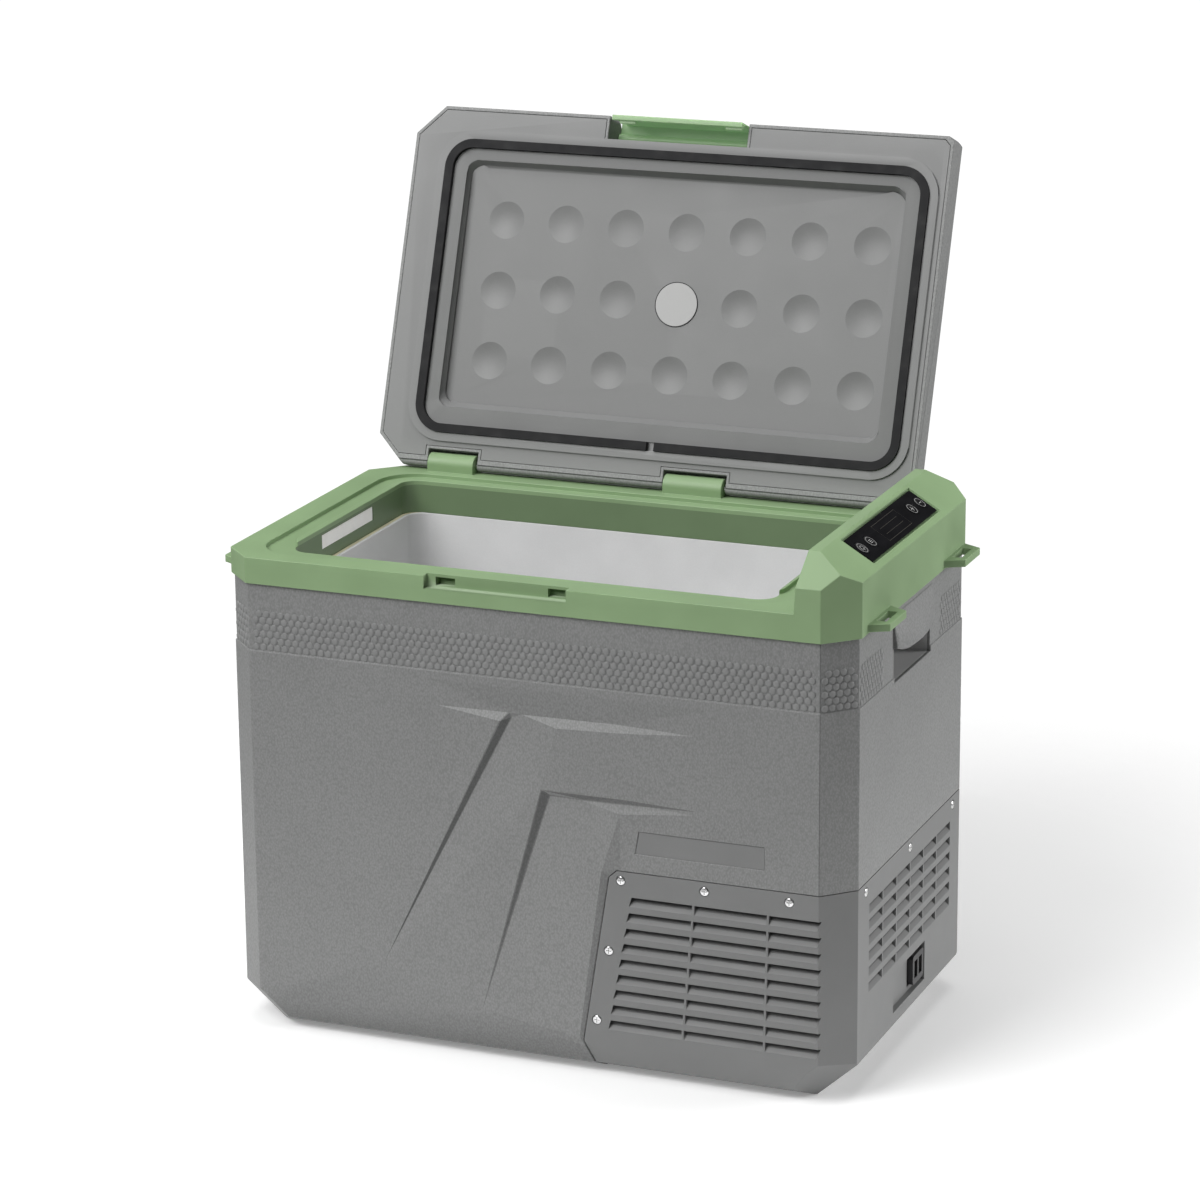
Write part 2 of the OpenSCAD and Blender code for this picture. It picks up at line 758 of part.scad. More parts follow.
module pin_bosses() {
  for (k = knuckles) {
    for (x = [k[0] - 20, k[1] + 2]) translate([x, 0, 0]) rotate([0, 90, 0]) cylinder(h = 18, r = 5);
  }
}

module pin_line(r) {
  for (k = knuckles) translate([k[0] - 14, 0, 0]) rotate([0, 90, 0]) cylinder(h = k[1] - k[0] + 28, r = r);
}

// The seal's loop, grown outwards and inwards by two amounts
module seal_loop(out, inwards, z0, z1) {
  y0 = -(hinge_y - seal_y0);
  y1 = -(hinge_y - seal_y1);
  w = seal_w + inwards;
  difference() {
    rounded(seal_x0 - out, seal_x1 + out, y0 - out, y1 + out, seal_r + out, z0, z1);
    rounded(seal_x0 + w, seal_x1 - w, y0 + w, y1 - w, seal_r - w, z0 - 1, z1 + 1);
  }
}

module lid_shell() color(shell_grey) in_lid() difference() {
  union() {
    difference() {
      lid_form(0);
      difference() {
        union() {
          lid_form(3.5);
          translate([0, 0, flange_n - 1]) linear_extrude(5) lid_outline(3.5);
        }
        hinge_notches(5);
        latch_bay(3);
        pin_bosses();
        box(-300, 300, -6, 10, -20, flange_n + 3);
      }
    }
    intersection() {
      pin_bosses();
      lid_form(0);
    }
  }
  back_rounding();
  hinge_notches(2);
  latch_bay(0);
  pin_line(pin_r + 0.05);
  latch_axis(9) cylinder(h = latch_x1 - latch_x0 + 18, r = 2.55);
}

module latch_axis(over) {
  translate([latch_x0 - over, -latch_v, latch_n]) rotate([0, 90, 0]) children();
}

module lid_foam() color(foam_cream) in_lid() difference() {
  lid_form(3.7);
  translate([0, 0, -50 + flange_n + 3.2]) linear_extrude(50) lid_outline(0);
  hinge_notches(5.2);
  latch_bay(3.2);
  for (k = knuckles) box(k[0] - 24, k[1] + 24, -9, 9, -20, 9);
  box(latch_x0 - 12, latch_x1 + 12, -latch_v - 5, -latch_v + 5, latch_n - 5, latch_n + 5);
  tray_volume(4.3);
}

module tray_volume(extra) {
  rounded(-half_l + 53 - extra, 197 + extra, -286 - extra, -52 + extra, 14 + extra, -30, tray_n + extra);
}

// Shallow round dimples sunk into the tray's face; the badge takes the middle one
module dimples() {
  rows = [-232, -166, -100];
  deep = 2;
  ball = (dimple_d * dimple_d / 4 + deep * deep) / (2 * deep);
  for (r = [0 : 2]) {
    for (i = [0 : 6]) {
      if (r != 1 || i != 3) translate([-13.5 + (i - 3) * 59.7, rows[r], tray_n]) intersection() {
        translate([0, 0, deep - ball]) sphere(r = ball);
        translate([0, 0, -1]) cylinder(h = 4, r = dimple_d / 2 + 1);
      }
    }
  }
}

module lid_inner_panel() color(smooth_grey) in_lid() difference() {
  union() {
    difference() {
      translate([0, 0, flange_n]) linear_extrude(3) lid_outline(3.7);
      latch_bay(3.3);
      hinge_notches(5.3);
      box(-300, 300, -6.3, 10, -20, 20);
    }
    intersection() {
      tray_volume(4);
      translate([0, 0, flange_n]) linear_extrude(30) lid_outline(4);
    }
    // raised rib round the gasket
    seal_loop(8, 0, flange_n - 2.3, flange_n + 1);
  }
  tray_volume(0);
  dimples();
  seal_loop(0.15, 0.15, flange_n - 10, flange_n + 1.2);
  // room for the walls of the latch bay
  intersection() {
    latch_bay(3.3);
    box(-300, 300, -400, 0, flange_n - 0.2, 40);
  }
  translate([-15, -165.5, tray_n - 1]) cylinder(h = 3, r = 20.6);
}

module lid_gasket() color(black) in_lid() difference() {
  seal_loop(0, 0, flange_n - 4.3, flange_n + 1);
  box(-22.5, -15, -40, -20, -30, 30);
}

module lid_badge() color(light) in_lid() translate([-15, -165.5, tray_n - 0.6]) cylinder(h = 2.5, r = 20);

module hinge_pins() color(metal) in_lid() pin_line(pin_r);

// ---- latch ----

module in_latch() {
  in_lid() translate([0, -latch_v, latch_n]) children();
}

module latch_flap() color(green) in_latch() difference() {
  union() {
    // barrel on the pin
    translate([latch_x0 + 0.8, 0, 0]) rotate([0, 90, 0]) cylinder(h = latch_x1 - latch_x0 - 1.6, r = 4.5);
    // top plate from the barrel to the front, and the face plate hanging from it
    box(latch_x0 + 0.8, latch_x1 - 0.8, flap_y, 0, 1, 4.5);
    box(latch_x0 + 6, latch_x1 - 3, flap_y, flap_y + 2.6, flap_z, 4.5);
    // stiffening bar and hooks at the lower edge
    box(latch_x0 + 6, latch_x1 - 3, flap_y, flap_y + 4.5, flap_z, flap_z + 5);
    for (x = hook_x) box(x, x + hook_w, flap_y, flap_y + 7, flap_z + 3, flap_z + 8);
    for (x = hook_x) box(x + 6, x + 9, flap_y, flap_y + 5, flap_z + 8, flap_z + 22);
  }
  translate([latch_x0, 0, 0]) rotate([0, 90, 0]) cylinder(h = latch_x1 - latch_x0, r = 2.55);
}

module latch_pin() color(metal) in_lid() latch_axis(8) cylinder(h = latch_x1 - latch_x0 + 16, r = 2.5);

outer_shell();
name_plate();
foot_pads();
insulation();
tank_liner();
rim_frame();
handle_cup_left();
handle_cup_right();
bay_bulkhead();
base_pan();
vent_cover();
cover_screws();
power_inlet();
inlet_contacts();
lamp_lens();
lamp_board();
display_lens();
display_module();
control_board();
key_power();
key_mode();
key_up();
key_down();
compressor();
compressor_mount();
compressor_grommets();
terminal_cover();
control_module();
condenser();
fan_frame();
fan_rotor();
filter_dryer();
refrigerant_lines();
evaporator_plate();
temperature_probe();
power_harness();
lid_shell();
lid_foam();
lid_inner_panel();
lid_gasket();
lid_badge();
hinge_pins();
latch_flap();
latch_pin();
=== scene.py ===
"""Looks of a compressor cooler fridge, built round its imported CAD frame.

Metres, X right along the long front, Y to the back, Z up. The lid stands open at rest.
"""

import json
import math

import bmesh
import bpy
from mathutils import Matrix, Vector
from mathutils.geometry import delaunay_2d_cdt

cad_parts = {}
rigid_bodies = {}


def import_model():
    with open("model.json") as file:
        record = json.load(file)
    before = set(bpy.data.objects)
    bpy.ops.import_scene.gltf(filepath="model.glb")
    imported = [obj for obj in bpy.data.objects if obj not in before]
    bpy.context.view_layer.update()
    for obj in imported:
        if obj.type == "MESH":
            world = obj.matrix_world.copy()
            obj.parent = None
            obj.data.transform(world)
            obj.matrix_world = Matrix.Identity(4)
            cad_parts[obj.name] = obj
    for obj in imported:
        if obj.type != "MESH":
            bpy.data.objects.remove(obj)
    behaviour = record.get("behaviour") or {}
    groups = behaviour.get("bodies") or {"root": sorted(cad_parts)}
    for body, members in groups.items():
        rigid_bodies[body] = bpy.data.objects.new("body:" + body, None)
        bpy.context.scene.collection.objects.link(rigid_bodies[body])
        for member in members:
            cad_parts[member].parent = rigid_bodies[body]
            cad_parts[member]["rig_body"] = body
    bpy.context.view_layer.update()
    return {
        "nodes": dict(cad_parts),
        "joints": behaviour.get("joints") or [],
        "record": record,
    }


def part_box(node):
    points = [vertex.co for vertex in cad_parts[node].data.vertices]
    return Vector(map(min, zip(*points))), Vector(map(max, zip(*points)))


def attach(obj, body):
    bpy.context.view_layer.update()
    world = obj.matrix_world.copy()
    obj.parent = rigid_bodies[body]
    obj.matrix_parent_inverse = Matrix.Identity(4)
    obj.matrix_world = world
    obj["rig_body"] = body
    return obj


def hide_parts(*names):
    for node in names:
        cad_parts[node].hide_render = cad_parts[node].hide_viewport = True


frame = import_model()
nodes = frame["nodes"]
joints = {j["name"]: j for j in frame["joints"]}
MM = 0.001

# ---- measures taken from the frame ----

_, rim_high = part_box("rim_frame")
_, shell_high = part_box("outer_shell")
HALF_W = rim_high.y
HALF_L = HALF_W + 121 * MM
SEAM_Z = shell_high.z
RIM_TOP = SEAM_Z + 23.6 * MM
# how far the wall and the textured band lie inside the rim's outline
LOW_IN = 1.6 * MM
BAND_IN = 2.6 * MM
BAND_LOW = 351 * MM
CORNER = 27 * MM
FRONT_Y = -HALF_W + LOW_IN
# the opening of the tank, and the lip round its top
OPEN_X0, OPEN_X1 = -241 * MM, 204 * MM
OPEN_Y0, OPEN_Y1 = -125 * MM, 122 * MM
LINER_R = 16 * MM
LIP_TOP = RIM_TOP - 30.6 * MM
LIP_LOW = LIP_TOP - 1.5 * MM
HINGE = Vector(joints["lid_hinge"]["pos_m"])
LID_OPEN = math.radians(110.2)
# from the lid's own frame: X along the hinge, -Y away from it, Z out of the closed lid
LID_PLACE = Matrix.Translation((0, HINGE.y, HINGE.z)) @ Matrix.Rotation(-LID_OPEN, 4, "X")

# ---- camera, light and floor ----

SENSOR = 36
FOCAL_LENGTH = 127.18
CAMERA_PLACE = (1.350128, -3.316739, 1.422375)
CAMERA_YAW, CAMERA_PITCH, CAMERA_ROLL = 22.16, 16.279, -0.522
WORLD_LIGHT, WORLD_SEEN = 0.06, 1.05
FLOOR_FADE = 0.55
FLOOR_EDGE = 1.25
FLOOR_WHITE = (0.92, 0.92, 0.92, 1)
FLOOR_GLOW = 0.2
LIGHT_TARGET = Vector((0, 0, 0.3))
# name, place, size in metres and power in watts
LIGHTS = (
    ("key_softbox", (-1.2, -2.1, 2.75), 2.2, 103),
    ("right_softbox", (3.0, 1.6, 0.9), 1.6, 84),
    ("left_softbox", (-3.3, 0.3, 0.9), 1.6, 16),
    ("top_softbox", (0, 0.2, 3.2), 2.4, 43),
)


def make_camera():
    """A long lens from the front right, a little above the object."""
    data = bpy.data.cameras.new("camera")
    data.sensor_width = SENSOR
    data.lens = FOCAL_LENGTH
    data.clip_end = 100
    cam = bpy.data.objects.new("camera", data)
    bpy.context.scene.collection.objects.link(cam)
    yaw, pitch, roll = (math.radians(a) for a in (CAMERA_YAW, CAMERA_PITCH, CAMERA_ROLL))
    cam.matrix_world = (
        Matrix.Translation(CAMERA_PLACE)
        @ Matrix.Rotation(yaw, 4, "Z")
        @ Matrix.Rotation(math.pi / 2 - pitch, 4, "X")
        @ Matrix.Rotation(roll, 4, "Z")
    )
    bpy.context.scene.camera = cam


def make_world():
    """An even grey studio, seen as white by the camera."""
    world = bpy.data.worlds.new("studio")
    bpy.context.scene.world = world
    world.use_nodes = True
    nt = world.node_tree
    nt.nodes.clear()
    out = nt.nodes.new("ShaderNodeOutputWorld")
    path = nt.nodes.new("ShaderNodeLightPath")
    mix = nt.nodes.new("ShaderNodeMixShader")
    nt.links.new(path.outputs["Is Camera Ray"], mix.inputs["Fac"])
    for slot, strength in ((1, WORLD_LIGHT), (2, WORLD_SEEN)):
        light = nt.nodes.new("ShaderNodeBackground")
        light.inputs["Color"].default_value = (1, 1, 1, 1)
        light.inputs["Strength"].default_value = strength
        nt.links.new(light.outputs["Background"], mix.inputs[slot])
    nt.links.new(mix.outputs["Shader"], out.inputs["Surface"])


def area_light(name, place, size, watts):
    """A square soft light that points at the object."""
    data = bpy.data.lights.new(name, "AREA")
    data.shape = "SQUARE"
    data.size = size
    data.energy = watts
    lamp = bpy.data.objects.new(name, data)
    lamp.location = place
    lamp.rotation_euler = (LIGHT_TARGET - Vector(place)).to_track_quat("-Z", "Y").to_euler()
    bpy.context.scene.collection.objects.link(lamp)


def make_floor():
    """A pale floor that fades out round the object, so the ground runs into the white surroundings."""
    bm = bmesh.new()
    bmesh.ops.create_grid(bm, x_segments=1, y_segments=1, size=FLOOR_EDGE)
    mesh = bpy.data.meshes.new("floor")
    bm.to_mesh(mesh)
    bm.free()
    floor = bpy.data.objects.new("floor", mesh)
    bpy.context.scene.collection.objects.link(floor)
    mat = bpy.data.materials.new("floor_white")
    mat.use_nodes = True
    nt = mat.node_tree
    nt.nodes.clear()
    coords = nt.nodes.new("ShaderNodeTexCoord")
    length = nt.nodes.new("ShaderNodeVectorMath")
    length.operation = "LENGTH"
    fade = nt.nodes.new("ShaderNodeMapRange")
    fade.interpolation_type = "SMOOTHSTEP"
    fade.inputs["From Min"].default_value = FLOOR_FADE
    fade.inputs["From Max"].default_value = FLOOR_EDGE
    matt = nt.nodes.new("ShaderNodeBsdfDiffuse")
    matt.inputs["Color"].default_value = FLOOR_WHITE
    glow = nt.nodes.new("ShaderNodeEmission")
    glow.inputs["Strength"].default_value = FLOOR_GLOW
    both = nt.nodes.new("ShaderNodeAddShader")
    clear = nt.nodes.new("ShaderNodeBsdfTransparent")
    mix = nt.nodes.new("ShaderNodeMixShader")
    out = nt.nodes.new("ShaderNodeOutputMaterial")
    nt.links.new(coords.outputs["Object"], length.inputs[0])
    nt.links.new(length.outputs["Value"], fade.inputs["Value"])
    nt.links.new(matt.outputs["BSDF"], both.inputs[0])
    nt.links.new(glow.outputs["Emission"], both.inputs[1])
    nt.links.new(fade.outputs["Result"], mix.inputs["Fac"])
    nt.links.new(both.outputs["Shader"], mix.inputs[1])
    nt.links.new(clear.outputs["BSDF"], mix.inputs[2])
    nt.links.new(mix.outputs["Shader"], out.inputs["Surface"])
    mesh.materials.append(mat)


make_camera()
make_world()
make_floor()
for light in LIGHTS:
    area_light(*light)
bpy.context.scene.view_settings.view_transform = "Standard"

# ---- materials ----

GREEN = (0.25, 0.366, 0.195)
SHELL_GREY = (0.235, 0.238, 0.236)
# painted light and shade on the front relief: how strongly each facet is lightened or darkened by the way
# it faces
PAINTED_LIGHT_UP, PAINTED_SHADE_DOWN, PAINTED_SHADE_RIGHT = 0.8, 0.85, -0.85
# painted shade: how far the skirt inside the opening is darkened
SKIRT_PAINTED_SHADE = 0.62


class Look:
    """A procedural material: a principled shader with colour variation, bumps and worn edges."""

    def __init__(self, name, colour, roughness, metallic=0.0, specular=0.5, coat=0.0):
        self.mat = bpy.data.materials.new(name)
        self.mat.use_nodes = True
        self.nt = self.mat.node_tree
        self.bsdf = self.nt.nodes["Principled BSDF"]
        self.colour = colour
        self.bsdf.inputs["Metallic"].default_value = metallic
        self.bsdf.inputs["Specular IOR Level"].default_value = specular
        self.bsdf.inputs["Coat Weight"].default_value = coat
        self.bsdf.inputs["Coat Roughness"].default_value = 0.08
        self.coords = self.add("ShaderNodeTexCoord").outputs["Object"]
        self.height = None
        self.rough = roughness
        self.shade = None

    def add(self, kind, **inputs):
        node = self.nt.nodes.new(kind)
        for key, value in inputs.items():
            node.inputs[key.replace("_", " ")].default_value = value
        return node

    def link(self, a, b):
        self.nt.links.new(a, b)

    def math(self, operation, a, b):
        node = self.add("ShaderNodeMath")
        node.operation = operation
        for slot, value in ((0, a), (1, b)):
            if isinstance(value, (int, float)):
                node.inputs[slot].default_value = value
            else:
                self.link(value, node.inputs[slot])
        return node.outputs[0]

    def stretched(self, stretch):
        mapping = self.add("ShaderNodeMapping")
        mapping.inputs["Scale"].default_value = stretch
        self.link(self.coords, mapping.inputs["Vector"])
        return mapping.outputs["Vector"]

    def noise(self, size, detail=3.0, stretch=(1, 1, 1)):
        node = self.add("ShaderNodeTexNoise", Scale=1 / size, Detail=detail)
        self.link(self.stretched(stretch), node.inputs["Vector"])
        return node.outputs["Fac"]

    def cells(self, size, stretch=(1, 1, 1), smooth=0.4):
        node = self.add("ShaderNodeTexVoronoi", Scale=1 / size)
        node.feature = "SMOOTH_F1"
        node.inputs["Smoothness"].default_value = smooth
        self.link(self.stretched(stretch), node.inputs["Vector"])
        return node.outputs["Distance"]

    def ramp(self, value, low, high, to_low, to_high):
        node = self.add("ShaderNodeMapRange")
        node.inputs["From Min"].default_value = low
        node.inputs["From Max"].default_value = high
        node.inputs["To Min"].default_value = to_low
        node.inputs["To Max"].default_value = to_high
        self.link(value, node.inputs["Value"])
        return node.outputs["Result"]

    def raise_by(self, value, depth):
        """Adds a height field, where depth is the height of its whole range in metres."""
        part = self.math("MULTIPLY", value, depth)
        self.height = part if self.height is None else self.math("ADD", self.height, part)

    def shade_by(self, value):
        """Multiplies the base colour by a value near 1."""
        self.shade = value if self.shade is None else self.math("MULTIPLY", self.shade, value)

    def worn_edges(self, gain=1.12):
        """Edges that stand out catch a little wear and look paler."""
        point = self.add("ShaderNodeNewGeometry").outputs["Pointiness"]
        self.shade_by(self.ramp(point, 0.52, 0.62, 1.0, gain))

    def painted_facet_shade(self):
        """Tones the front wall by the way each facet faces: paler up, darker down or to the right.

        This imitates soft light on the shallow relief. It isn't a colour that the plastic has.
        """
        parts = self.add("ShaderNodeSeparateXYZ")
        self.link(self.add("ShaderNodeNewGeometry").outputs["Normal"], parts.inputs[0])
        front = self.math("LESS_THAN", parts.outputs["Y"], -0.8)
        up = self.math("MULTIPLY", self.math("MAXIMUM", parts.outputs["Z"], 0.0), PAINTED_LIGHT_UP)
        down = self.math("MULTIPLY", self.math("MINIMUM", parts.outputs["Z"], 0.0), PAINTED_SHADE_DOWN)
        right = self.math("MULTIPLY", self.math("MAXIMUM", parts.outputs["X"], 0.0), PAINTED_SHADE_RIGHT)
        total = self.math("ADD", self.math("ADD", up, down), right)
        self.shade_by(self.math("ADD", self.math("MULTIPLY", total, front), 1.0))

    def done(self, rough_noise=None, rough_range=(0.9, 1.1)):
        """Links colour, roughness and bump to the shader and gives the material."""
        if self.shade is not None:
            mix = self.add("ShaderNodeVectorMath")
            mix.operation = "SCALE"
            mix.inputs[0].default_value = self.colour
            self.link(self.shade, mix.inputs["Scale"])
            self.link(mix.outputs["Vector"], self.bsdf.inputs["Base Color"])
        else:
            self.bsdf.inputs["Base Color"].default_value = (*self.colour, 1)
        if rough_noise is None:
            self.bsdf.inputs["Roughness"].default_value = self.rough
        else:
            low, high = self.rough * rough_range[0], self.rough * rough_range[1]
            self.link(self.ramp(rough_noise, 0.3, 0.7, low, high), self.bsdf.inputs["Roughness"])
        if self.height is not None:
            bump = self.add("ShaderNodeBump", Strength=1.0, Distance=1.0)
            self.link(self.height, bump.inputs["Height"])
            self.link(bump.outputs["Normal"], self.bsdf.inputs["Normal"])
        return self.mat


def leather_grain():
    """Grained grey plastic: small pebbles, with their light and shade painted into the colour, paler on
    top and darker in the valleys between them.
    """
    look = Look("grain_shell", SHELL_GREY, 0.55, specular=0.35)
    pebbles = look.cells(1.5 * MM, (1, 1, 0.62))
    fine = look.noise(1.0 * MM, 3.0, (1, 1, 0.6))
    patches = look.noise(60 * MM, 2.0)
    look.raise_by(look.ramp(pebbles, 0.1, 0.7, 1.0, 0.0), 0.09 * MM)
    look.raise_by(fine, 0.06 * MM)
    # painted light and shade of the pebbles: paler at their middles, darker in the valleys between them
    look.shade_by(look.ramp(pebbles, 0.15, 0.75, 1.1, 0.86))
    look.shade_by(look.ramp(fine, 0.35, 0.65, 0.95, 1.05))
    # painted light and shade: the relief's facets are paler where they face up and darker where they face
    # down or to the right
    look.painted_facet_shade()
    look.shade_by(look.ramp(patches, 0.35, 0.65, 0.985, 1.015))
    look.worn_edges(1.15)
    return look.done(fine, (0.85, 1.15))


def satin(name, colour, roughness=0.45, grain=0.02, gain=1.1, specular=0.4):
    """Smooth moulded plastic: a fine spark-eroded texture, faint flow patches and paler edges."""
    look = Look(name, colour, roughness, specular=specular)
    fine = look.noise(0.8 * MM, 3.0)
    patches = look.noise(45 * MM, 2.0)
    look.raise_by(fine, grain * MM)
    look.shade_by(look.ramp(patches, 0.35, 0.65, 0.975, 1.025))
    look.shade_by(look.ramp(fine, 0.3, 0.7, 0.98, 1.02))
    look.worn_edges(gain)
    return look.done(patches, (0.88, 1.12))


def rim_green():
    """The rim's green plastic, with painted shade darkening the skirt inside the opening."""
    look = Look("rim_green", GREEN, 0.42, specular=0.4)
    fine = look.noise(0.8 * MM, 3.0)
    patches = look.noise(45 * MM, 2.0)
    look.raise_by(fine, 0.02 * MM)
    look.shade_by(look.ramp(patches, 0.35, 0.65, 0.975, 1.025))
    # painted shade: the skirt inside the opening, below the rim's top, is darkened
    parts = look.add("ShaderNodeSeparateXYZ")
    look.link(look.coords, parts.inputs[0])
    inside = look.math("LESS_THAN", parts.outputs["Z"], RIM_TOP - 4 * MM)
    for axis, low, high in (("X", OPEN_X0, OPEN_X1), ("Y", OPEN_Y0, OPEN_Y1)):
        past_low = look.math("GREATER_THAN", parts.outputs[axis], low - MM)
        inside = look.math("MULTIPLY", inside, past_low)
        before_high = look.math("LESS_THAN", parts.outputs[axis], high + MM)
        inside = look.math("MULTIPLY", inside, before_high)
    look.shade_by(look.ramp(inside, 0, 1, 1.0, SKIRT_PAINTED_SHADE))
    look.worn_edges(1.15)
    return look.done(patches, (0.88, 1.12))


def latch_green():
    """Green plastic with scatter and a faint glow, standing in for light that passes through the flap."""
    look = Look("latch_green", GREEN, 0.38, specular=0.4)
    look.bsdf.inputs["Subsurface Weight"].default_value = 0.8
    look.bsdf.inputs["Subsurface Radius"].default_value = (0.8, 1.0, 0.7)
    look.bsdf.inputs["Subsurface Scale"].default_value = 8 * MM
    look.bsdf.inputs["Emission Color"].default_value = (0.3, 0.5, 0.27, 1)
    look.bsdf.inputs["Emission Strength"].default_value = 0.22
    look.raise_by(look.noise(0.8 * MM, 3.0), 0.02 * MM)
    patches = look.noise(30 * MM, 2.0)
    look.shade_by(look.ramp(patches, 0.35, 0.65, 0.97, 1.03))
    return look.done(patches, (0.88, 1.12))


def rubber(name, colour=(0.018, 0.018, 0.019), roughness=0.6):
    """Dull black rubber with a little dust."""
    look = Look(name, colour, roughness, specular=0.4)
    fine = look.noise(0.5 * MM, 3.0)
    dust = look.noise(12 * MM, 3.0)
    look.raise_by(fine, 0.03 * MM)
    look.shade_by(look.ramp(dust, 0.4, 0.7, 0.9, 1.5))
    return look.done(dust, (0.85, 1.15))


def metal(name, colour, roughness, stretch=(1, 1, 12), gain=1.1):
    """Metal with fine drawn lines and smudges."""
    look = Look(name, colour, roughness, metallic=1.0)
    lines = look.noise(1.2 * MM, 3.0, stretch)
    smudges = look.noise(14 * MM, 3.0)
    look.raise_by(lines, 0.01 * MM)
    look.shade_by(look.ramp(smudges, 0.3, 0.7, 0.9, 1.05))
    look.worn_edges(gain)
    return look.done(lines, (0.75, 1.3))


def foam_look():
    """Cream foam with open bubbles."""
    look = Look("foam", (0.78, 0.72, 0.52), 0.9, specular=0.1)
    bubbles = look.cells(1.6 * MM)
    patches = look.noise(30 * MM)
    look.raise_by(bubbles, 0.4 * MM)
    look.shade_by(look.ramp(patches, 0.3, 0.7, 0.85, 1.08))
    return look.done(bubbles)


def board_look():
    """Green circuit board with faint tracks."""
    look = Look("circuit_board", (0.02, 0.13, 0.06), 0.35)
    tracks = look.add("ShaderNodeTexWave", Scale=280.0, Distortion=6.0, Detail=2.0)
    look.link(look.coords, tracks.inputs["Vector"])
    look.shade_by(look.ramp(tracks.outputs["Fac"], 0.45, 0.55, 0.8, 1.5))
    look.raise_by(tracks.outputs["Fac"], 0.03 * MM)
    return look.done(look.noise(6 * MM))


def gloss(name, colour, roughness=0.08, specular=0.6):
    """Glossy panel with faint smears and dust."""
    look = Look(name, colour, roughness, specular=specular)
    smears = look.noise(9 * MM, 4.0, (1, 0.4, 1))
    look.raise_by(smears, 0.01 * MM)
    look.shade_by(look.ramp(smears, 0.3, 0.7, 0.8, 1.4))
    return look.done(smears, (0.6, 2.0))


def lamp_look():
    """Frosted lens with a faint glow."""
    look = Look("lamp_lens", (0.86, 0.85, 0.83), 0.35, specular=0.5)
    frost = look.noise(0.9 * MM, 3.0)
    look.raise_by(frost, 0.05 * MM)
    look.shade_by(look.ramp(look.noise(12 * MM), 0.3, 0.7, 0.94, 1.03))
    look.bsdf.inputs["Emission Color"].default_value = (1, 0.98, 0.95, 1)
    look.bsdf.inputs["Emission Strength"].default_value = 0.12
    return look.done(frost)


def paint_look():
    """Black enamel with orange peel."""
    look = Look("compressor_paint", (0.016, 0.016, 0.017), 0.3, specular=0.5, coat=0.4)
    peel = look.noise(2.5 * MM, 2.0)
    look.raise_by(peel, 0.05 * MM)
    look.shade_by(look.ramp(look.noise(20 * MM), 0.3, 0.7, 0.8, 1.4))
    return look.done(peel)


LOOKS = {
    "grain_shell": leather_grain(),
    "smooth_plastic": satin("smooth_plastic", (0.19, 0.192, 0.191), 0.52, 0.03),
    # painted light: the hand cups get a grey much paler than the shell's, which lightens the shade inside
    # them
    "cup_plastic": satin("cup_plastic", (0.55, 0.552, 0.551), 0.5),
    "green_plastic": satin("green_plastic", GREEN, 0.42, 0.02, 1.15),
    "liner_plastic": satin("liner_plastic", (0.74, 0.74, 0.745), 0.4, 0.01, 1.05),
    "lid_panel_plastic": satin("lid_panel_plastic", (0.225, 0.227, 0.226), 0.45, 0.03),
    "foam": foam_look(),
    "rubber": rubber("rubber"),
    "seal_rubber": rubber("seal_rubber", (0.011, 0.011, 0.012), 0.75),
    "wire_rubber": rubber("wire_rubber", (0.012, 0.012, 0.012), 0.4),
    "sheet_metal": metal("sheet_metal", (0.33, 0.34, 0.35), 0.45),
    "screw_metal": metal("screw_metal", (0.78, 0.78, 0.78), 0.22, (1, 1, 1)),
    "contact_metal": metal("contact_metal", (0.75, 0.62, 0.35), 0.3),
    "black_plastic": satin("black_plastic", (0.022, 0.022, 0.023), 0.4, 0.02, 1.5),
    "lamp_lens": lamp_look(),
    "circuit_board": board_look(),
    "display_gloss": gloss("display_gloss", (0.006, 0.006, 0.007), 0.12, 0.12),
    "key_gloss": gloss("key_gloss", (0.009, 0.009, 0.01), 0.2, 0.15),
    "compressor_paint": paint_look(),
    "alloy_case": metal("alloy_case", (0.6, 0.6, 0.61), 0.42),
    "condenser_metal": metal("condenser_metal", (0.55, 0.56, 0.57), 0.38, (1, 1, 1)),
    "copper_tube": metal("copper_tube", (0.75, 0.38, 0.22), 0.3, (1, 1, 1)),
    "alloy_sheet": metal("alloy_sheet", (0.7, 0.7, 0.71), 0.35),
    "plate_plastic": satin("plate_plastic", (0.2, 0.202, 0.201), 0.52, 0.03, 1.0),
    "band_plastic": satin("band_plastic", SHELL_GREY, 0.5, 0.02, 1.0),
    "latch_green": latch_green(),
    "rim_green": rim_green(),
    "field_print": satin("field_print", (0.05, 0.046, 0.04), 0.4, 0.01, 1.0),
    "badge_plastic": satin("badge_plastic", (0.4, 0.4, 0.396), 0.35, 0.015),
}
NODE_SLOT = {part["node"]: part["material_slot"] for part in frame["record"]["subparts"]}

# ---- mesh helpers ----

CREASE = "crease_line"
SHARP_ANGLE = 28
WELD = 0.01 * MM


def node_mesh(node):
    """The node's faces as one joined mesh, with its flat faces whole again."""
    bm = bmesh.new()
    bm.from_mesh(nodes[node].data)
    bm.edges.layers.int.new(CREASE)
    bmesh.ops.remove_doubles(bm, verts=bm.verts, dist=WELD)
    bmesh.ops.dissolve_limit(
        bm, angle_limit=math.radians(0.5), verts=bm.verts, edges=bm.edges, delimit={"NORMAL"}
    )
    return bm


def mark_creases(bm, edges):
    """Keeps these edges crisp, however flat they are."""
    layer = bm.edges.layers.int[CREASE]
    for e in edges:
        e[layer] = 1


